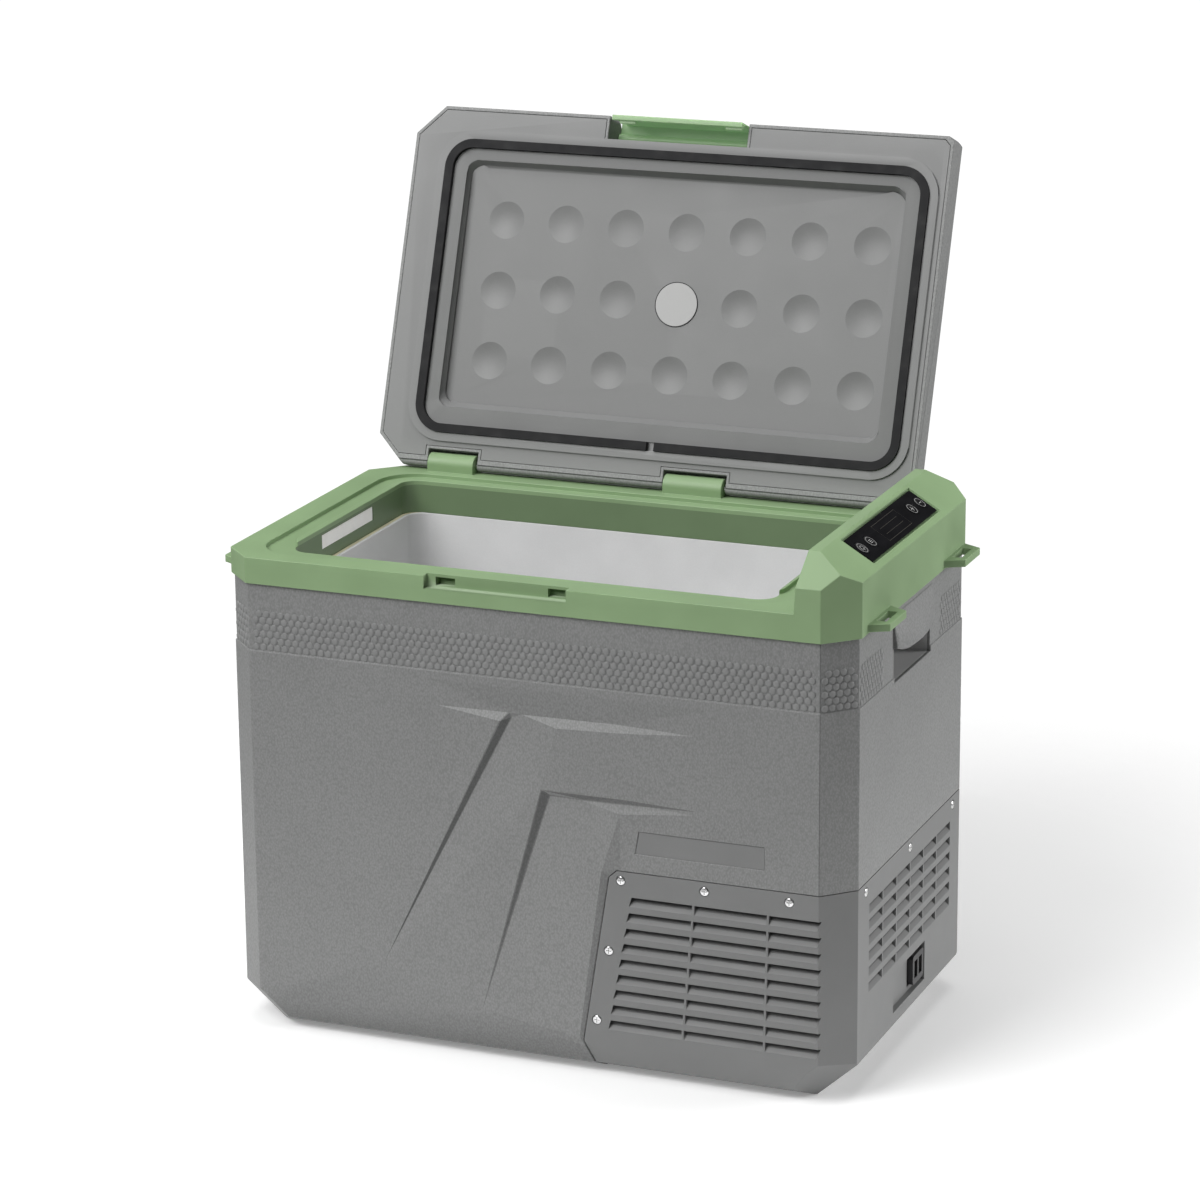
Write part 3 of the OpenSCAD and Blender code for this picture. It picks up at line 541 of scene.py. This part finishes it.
def soften(bm, width, angle=SHARP_ANGLE, segments=2, picked=lambda e: True):
    """Rounds the edges sharper than the angle for which picked(edge) is true."""
    limit = math.radians(angle)
    edges = [
        e for e in bm.edges
        if len(e.link_faces) == 2 and e.calc_face_angle(0) > limit and picked(e)
    ]
    bmesh.ops.bevel(
        bm, geom=edges, offset=width, offset_type="OFFSET", segments=segments, profile=0.5,
        affect="EDGES", clamp_overlap=False, loop_slide=True
    )


def piece(name, bm, body, slot, replaced=(), smooth_angle=40, look=None):
    """Turns a mesh into a shown piece that rides on a body and stands for some CAD nodes."""
    mesh = bpy.data.meshes.new(name)
    bm.to_mesh(mesh)
    bm.free()
    obj = bpy.data.objects.new(name, mesh)
    bpy.context.scene.collection.objects.link(obj)
    mesh.materials.append(LOOKS[look or slot])
    for polygon in mesh.polygons:
        polygon.use_smooth = True
    mesh.set_sharp_from_angle(angle=math.radians(smooth_angle))
    marked = mesh.attributes.get(CREASE)
    if marked:
        sharp = mesh.attributes.get("sharp_edge")
        if sharp is None:
            sharp = mesh.attributes.new("sharp_edge", "BOOLEAN", "EDGE")
        for before, now in zip(marked.data, sharp.data):
            now.value = now.value or before.value > 0
    modifier = obj.modifiers.new("face_weights", "WEIGHTED_NORMAL")
    modifier.keep_sharp = True
    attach(obj, body)
    if replaced:
        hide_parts(*replaced)
    return obj


def softened(node, width, angle=SHARP_ANGLE, segments=2, look=None, smooth_angle=40):
    """A piece that is its CAD node with rounded edges, the width in millimetres."""
    bm = node_mesh(node)
    soften(bm, width * MM, angle, segments)
    body = nodes[node]["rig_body"]
    return piece(node + "_soft", bm, body, NODE_SLOT[node], [node], smooth_angle, look)


# ---- pieces ----

for node, obj in nodes.items():
    obj.data.materials.clear()
    obj.data.materials.append(LOOKS["plate_plastic" if node == "name_plate" else NODE_SLOT[node]])

# Creases of the front relief, as x, z and height above the wall in millimetres
RELIEF_POINTS = {
    "ledge_start": (-84, 320.5, 0),
    "ledge_end": (-17.5, 320.5, -1.6),
    "ledge_tip": (-25, 313, 1.5),
    "groove_foot": (-139, 79, 0),
    "groove_deep": (-15.5, 316.5, -2.4),
    "panel_start": (-6, 320, -1.8),
    "panel_back": (80, 321, -1.3),
    "fade_left": (-92, 343, 0),
    "fade_right": (165, 343, 0),
    "panel_tip": (27, 312, 1.5),
    "panel_mid": (90, 314.5, 0.9),
    "panel_end": (152, 319, 0),
    "corner_tip": (12.5, 255.5, 1.5),
    "corner_mid": (90, 255.5, 1.1),
    "corner_end": (155, 252.5, 0),
    "foot": (-38.5, 73, 0),
    "corner_deep": (18.5, 250.5, -2.4),
    "ramp_start": (48, 250.2, -1.9),
    "ramp_top": (104, 251, -1.0),
    "ramp_tip": (84, 242, 0.9),
    "ramp_end": (152, 249, 0),
    "strip_top": (67, 188.5, 1.6),
    "strip_low": (45, 34, 0.7),
    "strip_start": (84, 193, 0),
}
RELIEF_CREASES = [
    ("ledge_start", "ledge_end"), ("ledge_start", "ledge_tip"), ("ledge_tip", "ledge_end"),
    ("ledge_tip", "groove_foot"), ("ledge_start", "groove_foot"), ("groove_deep", "groove_foot"),
    ("ledge_end", "groove_deep"), ("groove_deep", "panel_start"), ("ledge_end", "panel_start"),
    ("panel_start", "panel_tip"), ("panel_tip", "panel_mid"), ("panel_mid", "panel_end"),
    ("panel_start", "panel_back"), ("panel_back", "panel_end"), ("fade_left", "fade_right"),
    ("panel_tip", "corner_tip"), ("corner_tip", "foot"),
    ("groove_foot", "foot"), ("corner_tip", "corner_mid"), ("corner_mid", "corner_end"),
    ("corner_tip", "corner_deep"), ("corner_deep", "foot"), ("corner_deep", "ramp_start"),
    ("ramp_start", "ramp_top"), ("ramp_top", "corner_end"), ("ramp_start", "ramp_tip"),
    ("ramp_tip", "ramp_end"), ("ramp_end", "corner_end"), ("panel_end", "corner_end"),
    ("strip_top", "strip_low"), ("strip_top", "strip_start"),
]


def inside(x, z, edges):
    """True if the point lies inside the closed outlines, by counting crossings."""
    hit = False
    for (ax, az), (bx, bz) in edges:
        if (az > z) != (bz > z) and x < ax + (z - az) * (bx - ax) / (bz - az):
            hit = not hit
    return hit


def carve_front(bm):
    """Takes out the flat front wall and fills it again with the creased relief."""
    flat = 0.05 * MM
    wall_foot, groove_depth, grooves_end = 30 * MM, 2.6 * MM, 40 * MM
    gone = []
    for face in bm.faces:
        ys = [v.co.y for v in face.verts]
        centre = face.calc_center_median()
        if not (wall_foot < centre.z < BAND_LOW and face.normal.y < -0.2):
            continue
        on_wall = max(abs(y - FRONT_Y) for y in ys) < flat
        in_groove = max(ys) < FRONT_Y + groove_depth and centre.x < grooves_end
        if on_wall or in_groove:
            gone.append(face)
    bmesh.ops.delete(bm, geom=gone, context="FACES")
    rim = [
        e for e in bm.edges
        if e.is_boundary and all(abs(v.co.y - FRONT_Y) < flat for v in e.verts)
    ]
    corners = list({v for e in rim for v in e.verts})
    index = {v: i for i, v in enumerate(corners)}
    names = list(RELIEF_POINTS)
    coords = [Vector((v.co.x, v.co.z)) for v in corners]
    coords += [Vector((RELIEF_POINTS[n][0] * MM, RELIEF_POINTS[n][1] * MM)) for n in names]
    lines = [(index[e.verts[0]], index[e.verts[1]]) for e in rim]
    number = {name: len(corners) + i for i, name in enumerate(names)}
    lines += [(number[a], number[b]) for a, b in RELIEF_CREASES]
    points, _, faces, origin, _, _ = delaunay_2d_cdt(coords, lines, [], 0, 1e-7)
    outline = [((a.co.x, a.co.z), (b.co.x, b.co.z)) for a, b in (e.verts for e in rim)]
    made = []
    for place, source in zip(points, origin):
        known = [i for i in source if i < len(corners)]
        if known:
            made.append(corners[known[0]])
            continue
        heights = [RELIEF_POINTS[names[i - len(corners)]][2] for i in source]
        height = heights[0] if heights else 0
        made.append(bm.verts.new((place.x, FRONT_Y - height * MM, place.y)))
    filled = []
    for face in faces:
        middle = sum((points[i] for i in face), Vector((0, 0))) / len(face)
        if inside(middle.x, middle.y, outline):
            new = bm.faces.new([made[i] for i in face])
            new.normal_update()
            if new.normal.y > 0:
                new.normal_flip()
            filled.append(new)
    inner = {e for f in filled for e in f.edges if len(e.link_faces) == 2}
    folds = [e for e in inner if e.calc_face_angle(0) > math.radians(3)]
    mark_creases(bm, [e for e in folds if all(f in filled for f in e.link_faces)])


def make_shell():
    """The grained outer shell with the relief on its front."""
    bm = node_mesh("outer_shell")
    carve_front(bm)
    soften(bm, 0.7 * MM)
    return piece("body_shell", bm, "cabinet", "grain_shell", ["outer_shell"], 35)


STUD_SIDES = 8
STUD_PROFILE = ((3.15, -0.2), (3.0, 0.35), (2.35, 0.8))
STUD_TOP = 0.9
STUD_PITCH = 6.9 * MM
STUD_ROWS = 6
STUD_MARGIN = 3.6 * MM
STUD_END = 3.2 * MM
GRIP_REACH = 76 * MM


def stud(bm, centre, along, out):
    """One low round pad of the textured band, with its foot sunk a little into the wall."""
    up = Vector((0, 0, 1))
    rings = []
    for radius, rise in STUD_PROFILE:
        ring = []
        for i in range(STUD_SIDES):
            a = math.tau * (i + 0.5) / STUD_SIDES
            offset = along * math.cos(a) * radius + up * math.sin(a) * radius + out * rise
            ring.append(bm.verts.new(centre + offset * MM))
        rings.append(ring)
    top = bm.verts.new(centre + out * STUD_TOP * MM)
    for low, high in zip(rings, rings[1:]):
        for i in range(STUD_SIDES):
            j = (i + 1) % STUD_SIDES
            bm.faces.new((low[i], low[j], high[j], high[i]))
    for i in range(STUD_SIDES):
        bm.faces.new((rings[-1][i], rings[-1][(i + 1) % STUD_SIDES], top))


def make_studs():
    """Rows of pads in close packing along the recessed band, left out round the hand grips."""
    row_step = STUD_PITCH * math.sqrt(3) / 2
    length, width = HALF_L - BAND_IN, HALF_W - BAND_IN
    cut = CORNER - 0.586 * BAND_IN
    walls = []
    for sx in (-1, 1):
        for sy in (-1, 1):
            walls.append(((sx * (length - cut), sy * width), (sx * length, sy * (width - cut))))
            walls.append(((sx * length, sy * (width - cut)), (sx * length, sy * GRIP_REACH)))
    for sy in (-1, 1):
        walls.append(((-length + cut, sy * width), (length - cut, sy * width)))
    bm = bmesh.new()
    for start, end in walls:
        a, b = Vector((*start, 0)), Vector((*end, 0))
        along = (b - a).normalized()
        out = Vector((along.y, -along.x, 0))
        if out.dot(a + b) < 0:
            out = -out
            along = -along
            a, b = b, a
        span = (b - a).length
        room = span - 2 * STUD_MARGIN
        first = 0.5 * (span - int(room / STUD_PITCH) * STUD_PITCH)
        for row in range(STUD_ROWS):
            shift = 0.5 * STUD_PITCH * (row % 2)
            for i in range(int((room - shift) / STUD_PITCH) + 1):
                place = first + shift + i * STUD_PITCH
                centre = a + along * place
                centre.z = BAND_LOW + STUD_MARGIN + row * row_step
                if place < span - STUD_END:
                    stud(bm, centre, along, out)
    bmesh.ops.recalc_face_normals(bm, faces=bm.faces)
    return piece("band_studs", bm, "cabinet", "grain_shell", smooth_angle=75, look="band_plastic")


# tops of the louvre openings, with the left end of each front one
FRONT_ROWS = [(168 - i * 14.35, 94 - i * 2.5) for i in range(9)]
SIDE_ROWS = [168.5 - i * 14.2 for i in range(6)]
LOUVRE_H = 8.5
COVER_WALL = 3.2 * MM
SILL_LIFT = 3.8 * MM
SILL_RISE, SILL_END, SILL_DEPTH, SILL_THICK = 3.1, 7.6, 6.5 * MM, 1.2 * MM
SILL_LAP = 0.1 * MM
LOUVRES_LEFT, LOUVRES_RIGHT, LOUVRES_TOP = 70 * MM, 268 * MM, 172 * MM
FRONT_LOUVRES_LOW, SIDE_LOUVRES_LOW = 40 * MM, 86 * MM
SIDE_LOUVRES_Y0, SIDE_LOUVRES_Y1 = -114 * MM, 116 * MM
COVER_SCREWS = [(84, 182), (160, 182), (236, 182), (72.5, 117), (61, 52)]
SIDE_SCREWS = (-120, 0, 122)
SIDE_SCREWS_Z = 182 * MM
SCREW_CLEAR = 5 * MM


def slab(bm, a, b, across, thickness):
    """A thin plate that spans two points, swept across and given a thickness."""
    normal = (b - a).cross(across).normalized() * thickness
    corners = [a, b, b + across, a + across]
    low = [bm.verts.new(c - normal * 0.5) for c in corners]
    high = [bm.verts.new(c + normal * 0.5) for c in corners]
    bm.faces.new(low)
    bm.faces.new(list(reversed(high)))
    for i in range(4):
        j = (i + 1) % 4
        bm.faces.new((low[j], low[i], high[i], high[j]))


def make_cover():
    """The vent cover with sloping sills, which run on behind each opening so that no light passes."""
    bm = node_mesh("vent_cover")
    inner_y = -FRONT_Y - COVER_WALL
    inner_x = HALF_L - LOW_IN - COVER_WALL
    for v in bm.verts:
        near_screw = any(
            abs(v.co.x - x * MM) < SCREW_CLEAR and abs(v.co.z - z * MM) < SCREW_CLEAR
            for x, z in COVER_SCREWS
        )
        if abs(abs(v.co.y) - inner_y) < SILL_LAP and LOUVRES_LEFT < v.co.x < LOUVRES_RIGHT:
            if FRONT_LOUVRES_LOW < v.co.z < LOUVRES_TOP and not near_screw:
                v.co.z += SILL_LIFT
        if abs(v.co.x - inner_x) < SILL_LAP and SIDE_LOUVRES_Y0 < v.co.y < SIDE_LOUVRES_Y1:
            if SIDE_LOUVRES_LOW < v.co.z < LOUVRES_TOP:
                v.co.z += SILL_LIFT
    soften(bm, 0.35 * MM)
    for side in (-1, 1):
        for top, left in FRONT_ROWS:
            sill = top - LOUVRE_H
            start = (left - 6) * MM
            a = Vector((start, side * (inner_y + SILL_LAP), (sill + SILL_RISE) * MM))
            b = Vector((start, side * (inner_y - SILL_DEPTH), (sill + SILL_END) * MM))
            slab(bm, a, b, Vector(((270 - left) * MM, 0, 0)), SILL_THICK)
    for top in SIDE_ROWS:
        sill = top - LOUVRE_H
        a = Vector((inner_x + SILL_LAP, -116 * MM, (sill + SILL_RISE) * MM))
        b = Vector((inner_x - SILL_DEPTH, -116 * MM, (sill + SILL_END) * MM))
        slab(bm, a, b, Vector((0, 234 * MM, 0)), SILL_THICK)
    bmesh.ops.recalc_face_normals(bm, faces=bm.faces)
    return piece("vent_cover_louvred", bm, "cabinet", "smooth_plastic", ["vent_cover"], 35)


def lathe(bm, profile, place, sides=32):
    """Turns a profile of radius and height round Z, then moves it with the matrix."""
    rings = []
    for radius, z in profile:
        if radius == 0:
            rings.append([bm.verts.new(place @ Vector((0, 0, z)))])
            continue
        turns = [math.tau * i / sides for i in range(sides)]
        rings.append([
            bm.verts.new(place @ Vector((radius * math.cos(a), radius * math.sin(a), z)))
            for a in turns
        ])
    for low, high in zip(rings, rings[1:]):
        for i in range(sides):
            j = (i + 1) % sides
            if len(low) == 1:
                bm.faces.new((low[0], high[j], high[i]))
            elif len(high) == 1:
                bm.faces.new((low[i], low[j], high[0]))
            else:
                bm.faces.new((low[i], low[j], high[j], high[i]))
    return rings


def screw_places():
    """A matrix for each screw, its Z pointing out of the wall."""
    for x, z in COVER_SCREWS:
        for y, turn in ((FRONT_Y, math.pi / 2), (-FRONT_Y, -math.pi / 2)):
            yield Matrix.Translation((x * MM, y, z * MM)) @ Matrix.Rotation(turn, 4, "X")
    for y in SIDE_SCREWS:
        place = Matrix.Translation((HALF_L - LOW_IN, y * MM, SIDE_SCREWS_Z))
        yield place @ Matrix.Rotation(math.pi / 2, 4, "Y")


SCREW_SIDES = 32
SCREW_PROFILE = [(0.2, -1.6), (3.9, -1.6), (3.95, -0.5), (3.7, -0.05), (3.2, 0.15)]
CROSS_ARM, CROSS_WAIST, CROSS_TAPER = 2.3, 0.75, 0.75
CROSS_TOP, CROSS_FLOOR = 0.25, -1.1


def make_screws():
    """Pan heads with a cross recess, cut by pulling a star of points inwards."""
    bm = bmesh.new()
    for place in screw_places():
        rings = lathe(bm, [(r * MM, z * MM) for r, z in SCREW_PROFILE], place, SCREW_SIDES)
        star = []
        floor = []
        for i in range(SCREW_SIDES):
            a = math.tau * i / SCREW_SIDES
            reach = CROSS_ARM if abs(math.cos(2 * a)) > 0.86 else CROSS_WAIST
            for ring, r, z in ((star, reach, CROSS_TOP), (floor, reach * CROSS_TAPER, CROSS_FLOOR)):
                point = Vector((r * MM * math.cos(a), r * MM * math.sin(a), z * MM))
                ring.append(bm.verts.new(place @ point))
        for low, high in ((rings[-1], star), (star, floor)):
            for i in range(SCREW_SIDES):
                j = (i + 1) % SCREW_SIDES
                bm.faces.new((low[i], low[j], high[j], high[i]))
        bm.faces.new(list(reversed(floor)))
    bmesh.ops.recalc_face_normals(bm, faces=bm.faces)
    return piece("cover_screws_cross", bm, "cabinet", "screw_metal", ["cover_screws"], 40)


TRAY_LOW, TRAY_HIGH = Vector((-237, -286)) * MM, Vector((197, -52)) * MM
TRAY_FLOOR = 5 * MM
TRAY_DRAFT = 5 * MM
TRAY_ROUNDING = 2.4 * MM
TRAY_EDGE_BAND = 14.5 * MM
DIMPLES_INSET = 15 * MM
DIMPLE_CREST = 2.1 * MM
DIMPLE_GAIN = 1.2


def make_lid_panel():
    """The lid's inner panel, with drafted and softly rounded tray walls and deeper dimples."""
    bm = node_mesh("lid_inner_panel")
    bm.transform(LID_PLACE.inverted())
    low, high = TRAY_LOW, TRAY_HIGH

    def in_tray(v, inset):
        across = low.x + inset < v.co.x < high.x - inset
        return across and low.y + inset < v.co.y < high.y - inset

    def near_tray_edge(v):
        to_x = min(abs(v.co.x - low.x), abs(v.co.x - high.x))
        to_y = min(abs(v.co.y - low.y), abs(v.co.y - high.y))
        return min(to_x, to_y) < TRAY_EDGE_BAND

    def on_tray_rim(e):
        return all(
            in_tray(v, -1 * MM) and near_tray_edge(v) and v.co.z <= TRAY_FLOOR + 0.05 * MM
            for v in e.verts
        )

    middle, half = (low + high) / 2, (high - low) / 2
    for v in bm.verts:
        on_floor = abs(v.co.z - TRAY_FLOOR) < 0.05 * MM
        off = Vector((v.co.x, v.co.y)) - middle
        edge = max(abs(off.x) / half.x, abs(off.y) / half.y)
        if on_floor and 0.955 < edge < 1.01:
            v.co.x = middle.x + off.x * (1 - TRAY_DRAFT / half.x)
            v.co.y = middle.y + off.y * (1 - TRAY_DRAFT / half.y)
    soften(bm, TRAY_ROUNDING, segments=5, picked=on_tray_rim)
    flat = 0.02 * MM
    inner = [
        v for v in bm.verts
        if TRAY_FLOOR + flat < v.co.z < TRAY_FLOOR + DIMPLE_CREST and in_tray(v, DIMPLES_INSET)
    ]
    for v in inner:
        v.co.z = TRAY_FLOOR + DIMPLE_GAIN * (v.co.z - TRAY_FLOOR)
    dish = {e for v in inner for f in v.link_faces for e in f.edges}
    mark_creases(bm, [e for e in dish if all(abs(v.co.z - TRAY_FLOOR) < flat for v in e.verts)])
    bm.transform(LID_PLACE)
    return piece("lid_panel", bm, "lid", "lid_panel_plastic", ["lid_inner_panel"], 50)


KEEPER_X0, KEEPER_X1, KEEPER_Y = -112 * MM, 52 * MM, -135 * MM


def outside_keeper(e):
    return not all(KEEPER_X0 < v.co.x < KEEPER_X1 and v.co.y < KEEPER_Y for v in e.verts)


def make_rim():
    """The rim frame with rounded edges, apart from the small ones of the keeper channel."""
    bm = node_mesh("rim_frame")
    soften(bm, 0.7 * MM, picked=outside_keeper)
    low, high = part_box("rim_frame")
    # the rounding overshoots by a few hundredths of a millimetre at the lugs
    for v in bm.verts:
        v.co.x = min(max(v.co.x, low[0]), high[0])
    return piece("rim_frame_soft", bm, "cabinet", "green_plastic", ["rim_frame"], 40, "rim_green")


def rounded_loop(low, high, radius, steps=8):
    """Points round a rectangle with rounded corners."""
    points = []
    corners = ((high.x, high.y, 0), (low.x, high.y, 1), (low.x, low.y, 2), (high.x, low.y, 3))
    for x, y, turn in corners:
        cx = x - radius if x == high.x else x + radius
        cy = y - radius if y == high.y else y + radius
        for i in range(steps + 1):
            a = math.pi / 2 * (turn + i / steps)
            points.append(Vector((cx + radius * math.cos(a), cy + radius * math.sin(a))))
    return points


def make_liner_lip():
    """A lip round the top of the liner that closes the gap to the rim's skirt."""
    bm = bmesh.new()
    grow = Vector((2.2, 2.2)) * MM
    wide_low, wide_high = Vector((OPEN_X0, OPEN_Y0)) - grow, Vector((OPEN_X1, OPEN_Y1)) + grow
    narrow_low = Vector((OPEN_X0 + 4.2 * MM, OPEN_Y0 - 1.2 * MM))
    narrow_high = Vector((OPEN_X1 - 2.8 * MM, OPEN_Y1 + 1.2 * MM))
    outer = rounded_loop(wide_low, wide_high, LINER_R + 2 * MM)
    inner = rounded_loop(narrow_low, narrow_high, LINER_R)
    rings = []
    for loop, z in ((inner, LIP_LOW), (inner, LIP_TOP), (outer, LIP_TOP), (outer, LIP_LOW)):
        rings.append([bm.verts.new((p.x, p.y, z)) for p in loop])
    for k in range(4):
        a, b = rings[k], rings[(k + 1) % 4]
        for i in range(len(a)):
            j = (i + 1) % len(a)
            bm.faces.new((a[i], a[j], b[j], b[i]))
    bmesh.ops.recalc_face_normals(bm, faces=bm.faces)
    return piece("liner_lip", bm, "cabinet", "liner_plastic")


PANEL_PLACE = Matrix.Translation((269.5 * MM, -4.5 * MM, 472 * MM))
PANEL = PANEL_PLACE @ Matrix.Rotation(math.radians(30.96), 4, "Y")
PRINT_RISE = 0.08 * MM
PRINT_DEPTH = 0.1 * MM


def panel_top(node):
    """The height of the node's top over the panel, plus the height of the print."""
    return max((PANEL.inverted() @ v.co).z for v in nodes[node].data.vertices) + PRINT_RISE


def stroke(bm, points, width, top, closed=False):
    """A thin flat line of print through the points, lying on the panel."""
    n = len(points)
    low = top - PRINT_DEPTH
    sides = []
    for i, p in enumerate(points):
        before = points[i - 1] if i or closed else p
        after = points[(i + 1) % n] if i < n - 1 or closed else p
        along = (after - before).normalized()
        across = Vector((-along.y, along.x)) * width / 2
        section = ((p + across, top), (p - across, top), (p - across, low), (p + across, low))
        sides.append([bm.verts.new(PANEL @ Vector((*flat, z))) for flat, z in section])
    for i in range(n if closed else n - 1):
        a, b = sides[i], sides[(i + 1) % n]
        for k in range(4):
            m = (k + 1) % 4
            bm.faces.new((a[k], b[k], b[m], a[m]))
    if not closed:
        bm.faces.new(list(reversed(sides[0])))
        bm.faces.new(sides[-1])


def arc(centre, radius, start, end, steps=24):
    """Points along an arc, its angles in degrees."""
    return [
        centre + Vector((math.cos(a), math.sin(a))) * radius
        for a in (math.radians(start + (end - start) * i / steps) for i in range(steps + 1))
    ]


def make_key_prints():
    """Generic signs on the four keys: on and off, mode, up and down."""
    for key, y in (("key_power", -78), ("key_mode", -56), ("key_up", 56), ("key_down", 78)):
        top = panel_top(key)
        bm = bmesh.new()
        c = Vector((0, y)) * MM

        def bar(start, end, width, height=top):
            stroke(bm, [c + Vector(p) * MM for p in (start, end)], width * MM, height)

        stroke(bm, arc(c, 5.4 * MM, 0, 345), 0.4 * MM, top, True)
        if key == "key_power":
            stroke(bm, arc(c, 2.6 * MM, 40, 320), 0.6 * MM, top)
            bar((0.6, 0), (3.2, 0), 0.6)
        elif key == "key_mode":
            for step in (-1.6, 0, 1.6):
                bar((step, -2.4), (step, 2.4), 0.55)
        else:
            bar((0, -2.6), (0, 2.6), 0.6)
            if key == "key_up":
                bar((-2.6, 0), (2.6, 0), 0.6, top + 0.02 * MM)
        bmesh.ops.recalc_face_normals(bm, faces=bm.faces)
        piece(key + "_print", bm, key, "badge_plastic")


def make_display_frame():
    """The outline of the display field in the middle of the panel, and two lines in it."""
    bm = bmesh.new()
    top = panel_top("display_lens")
    corners = [Vector(p) * MM for p in ((-10, -30), (10, -30), (10, 30), (-10, 30))]
    stroke(bm, corners, 0.5 * MM, top, True)
    for x in (-3.5, 3.5):
        stroke(bm, [Vector((x, -22)) * MM, Vector((x, 22)) * MM], 0.4 * MM, top)
    bmesh.ops.recalc_face_normals(bm, faces=bm.faces)
    return piece("display_field", bm, "cabinet", "black_plastic", look="field_print")


def make_badge_ring():
    """A thin dark ring round the badge, 0.05 mm proud of it."""
    low, high = (Vector(p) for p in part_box("lid_badge"))
    local = LID_PLACE.inverted() @ ((low + high) / 2)
    face = min((LID_PLACE.inverted() @ v.co).z for v in nodes["lid_badge"].data.vertices)
    place = LID_PLACE @ Matrix.Translation((local.x, local.y, face))
    bm = bmesh.new()
    profile = ((20.15, 0.5), (20.15, -0.05), (20.8, -0.05), (20.8, 0.5), (20.15, 0.5))
    lathe(bm, [(r * MM, z * MM) for r, z in profile], place, 64)
    bmesh.ops.remove_doubles(bm, verts=bm.verts, dist=WELD)
    bmesh.ops.recalc_face_normals(bm, faces=bm.faces)
    return piece("badge_ring", bm, "lid", "rubber")


make_shell()
make_studs()
make_cover()
make_screws()
make_lid_panel()
make_rim()
make_liner_lip()
make_key_prints()
make_display_frame()
make_badge_ring()
softened("tank_liner", 0.8)
softened("lid_shell", 0.8, 40, 3, None, 60)
softened("latch_flap", 0.4, look="latch_green")
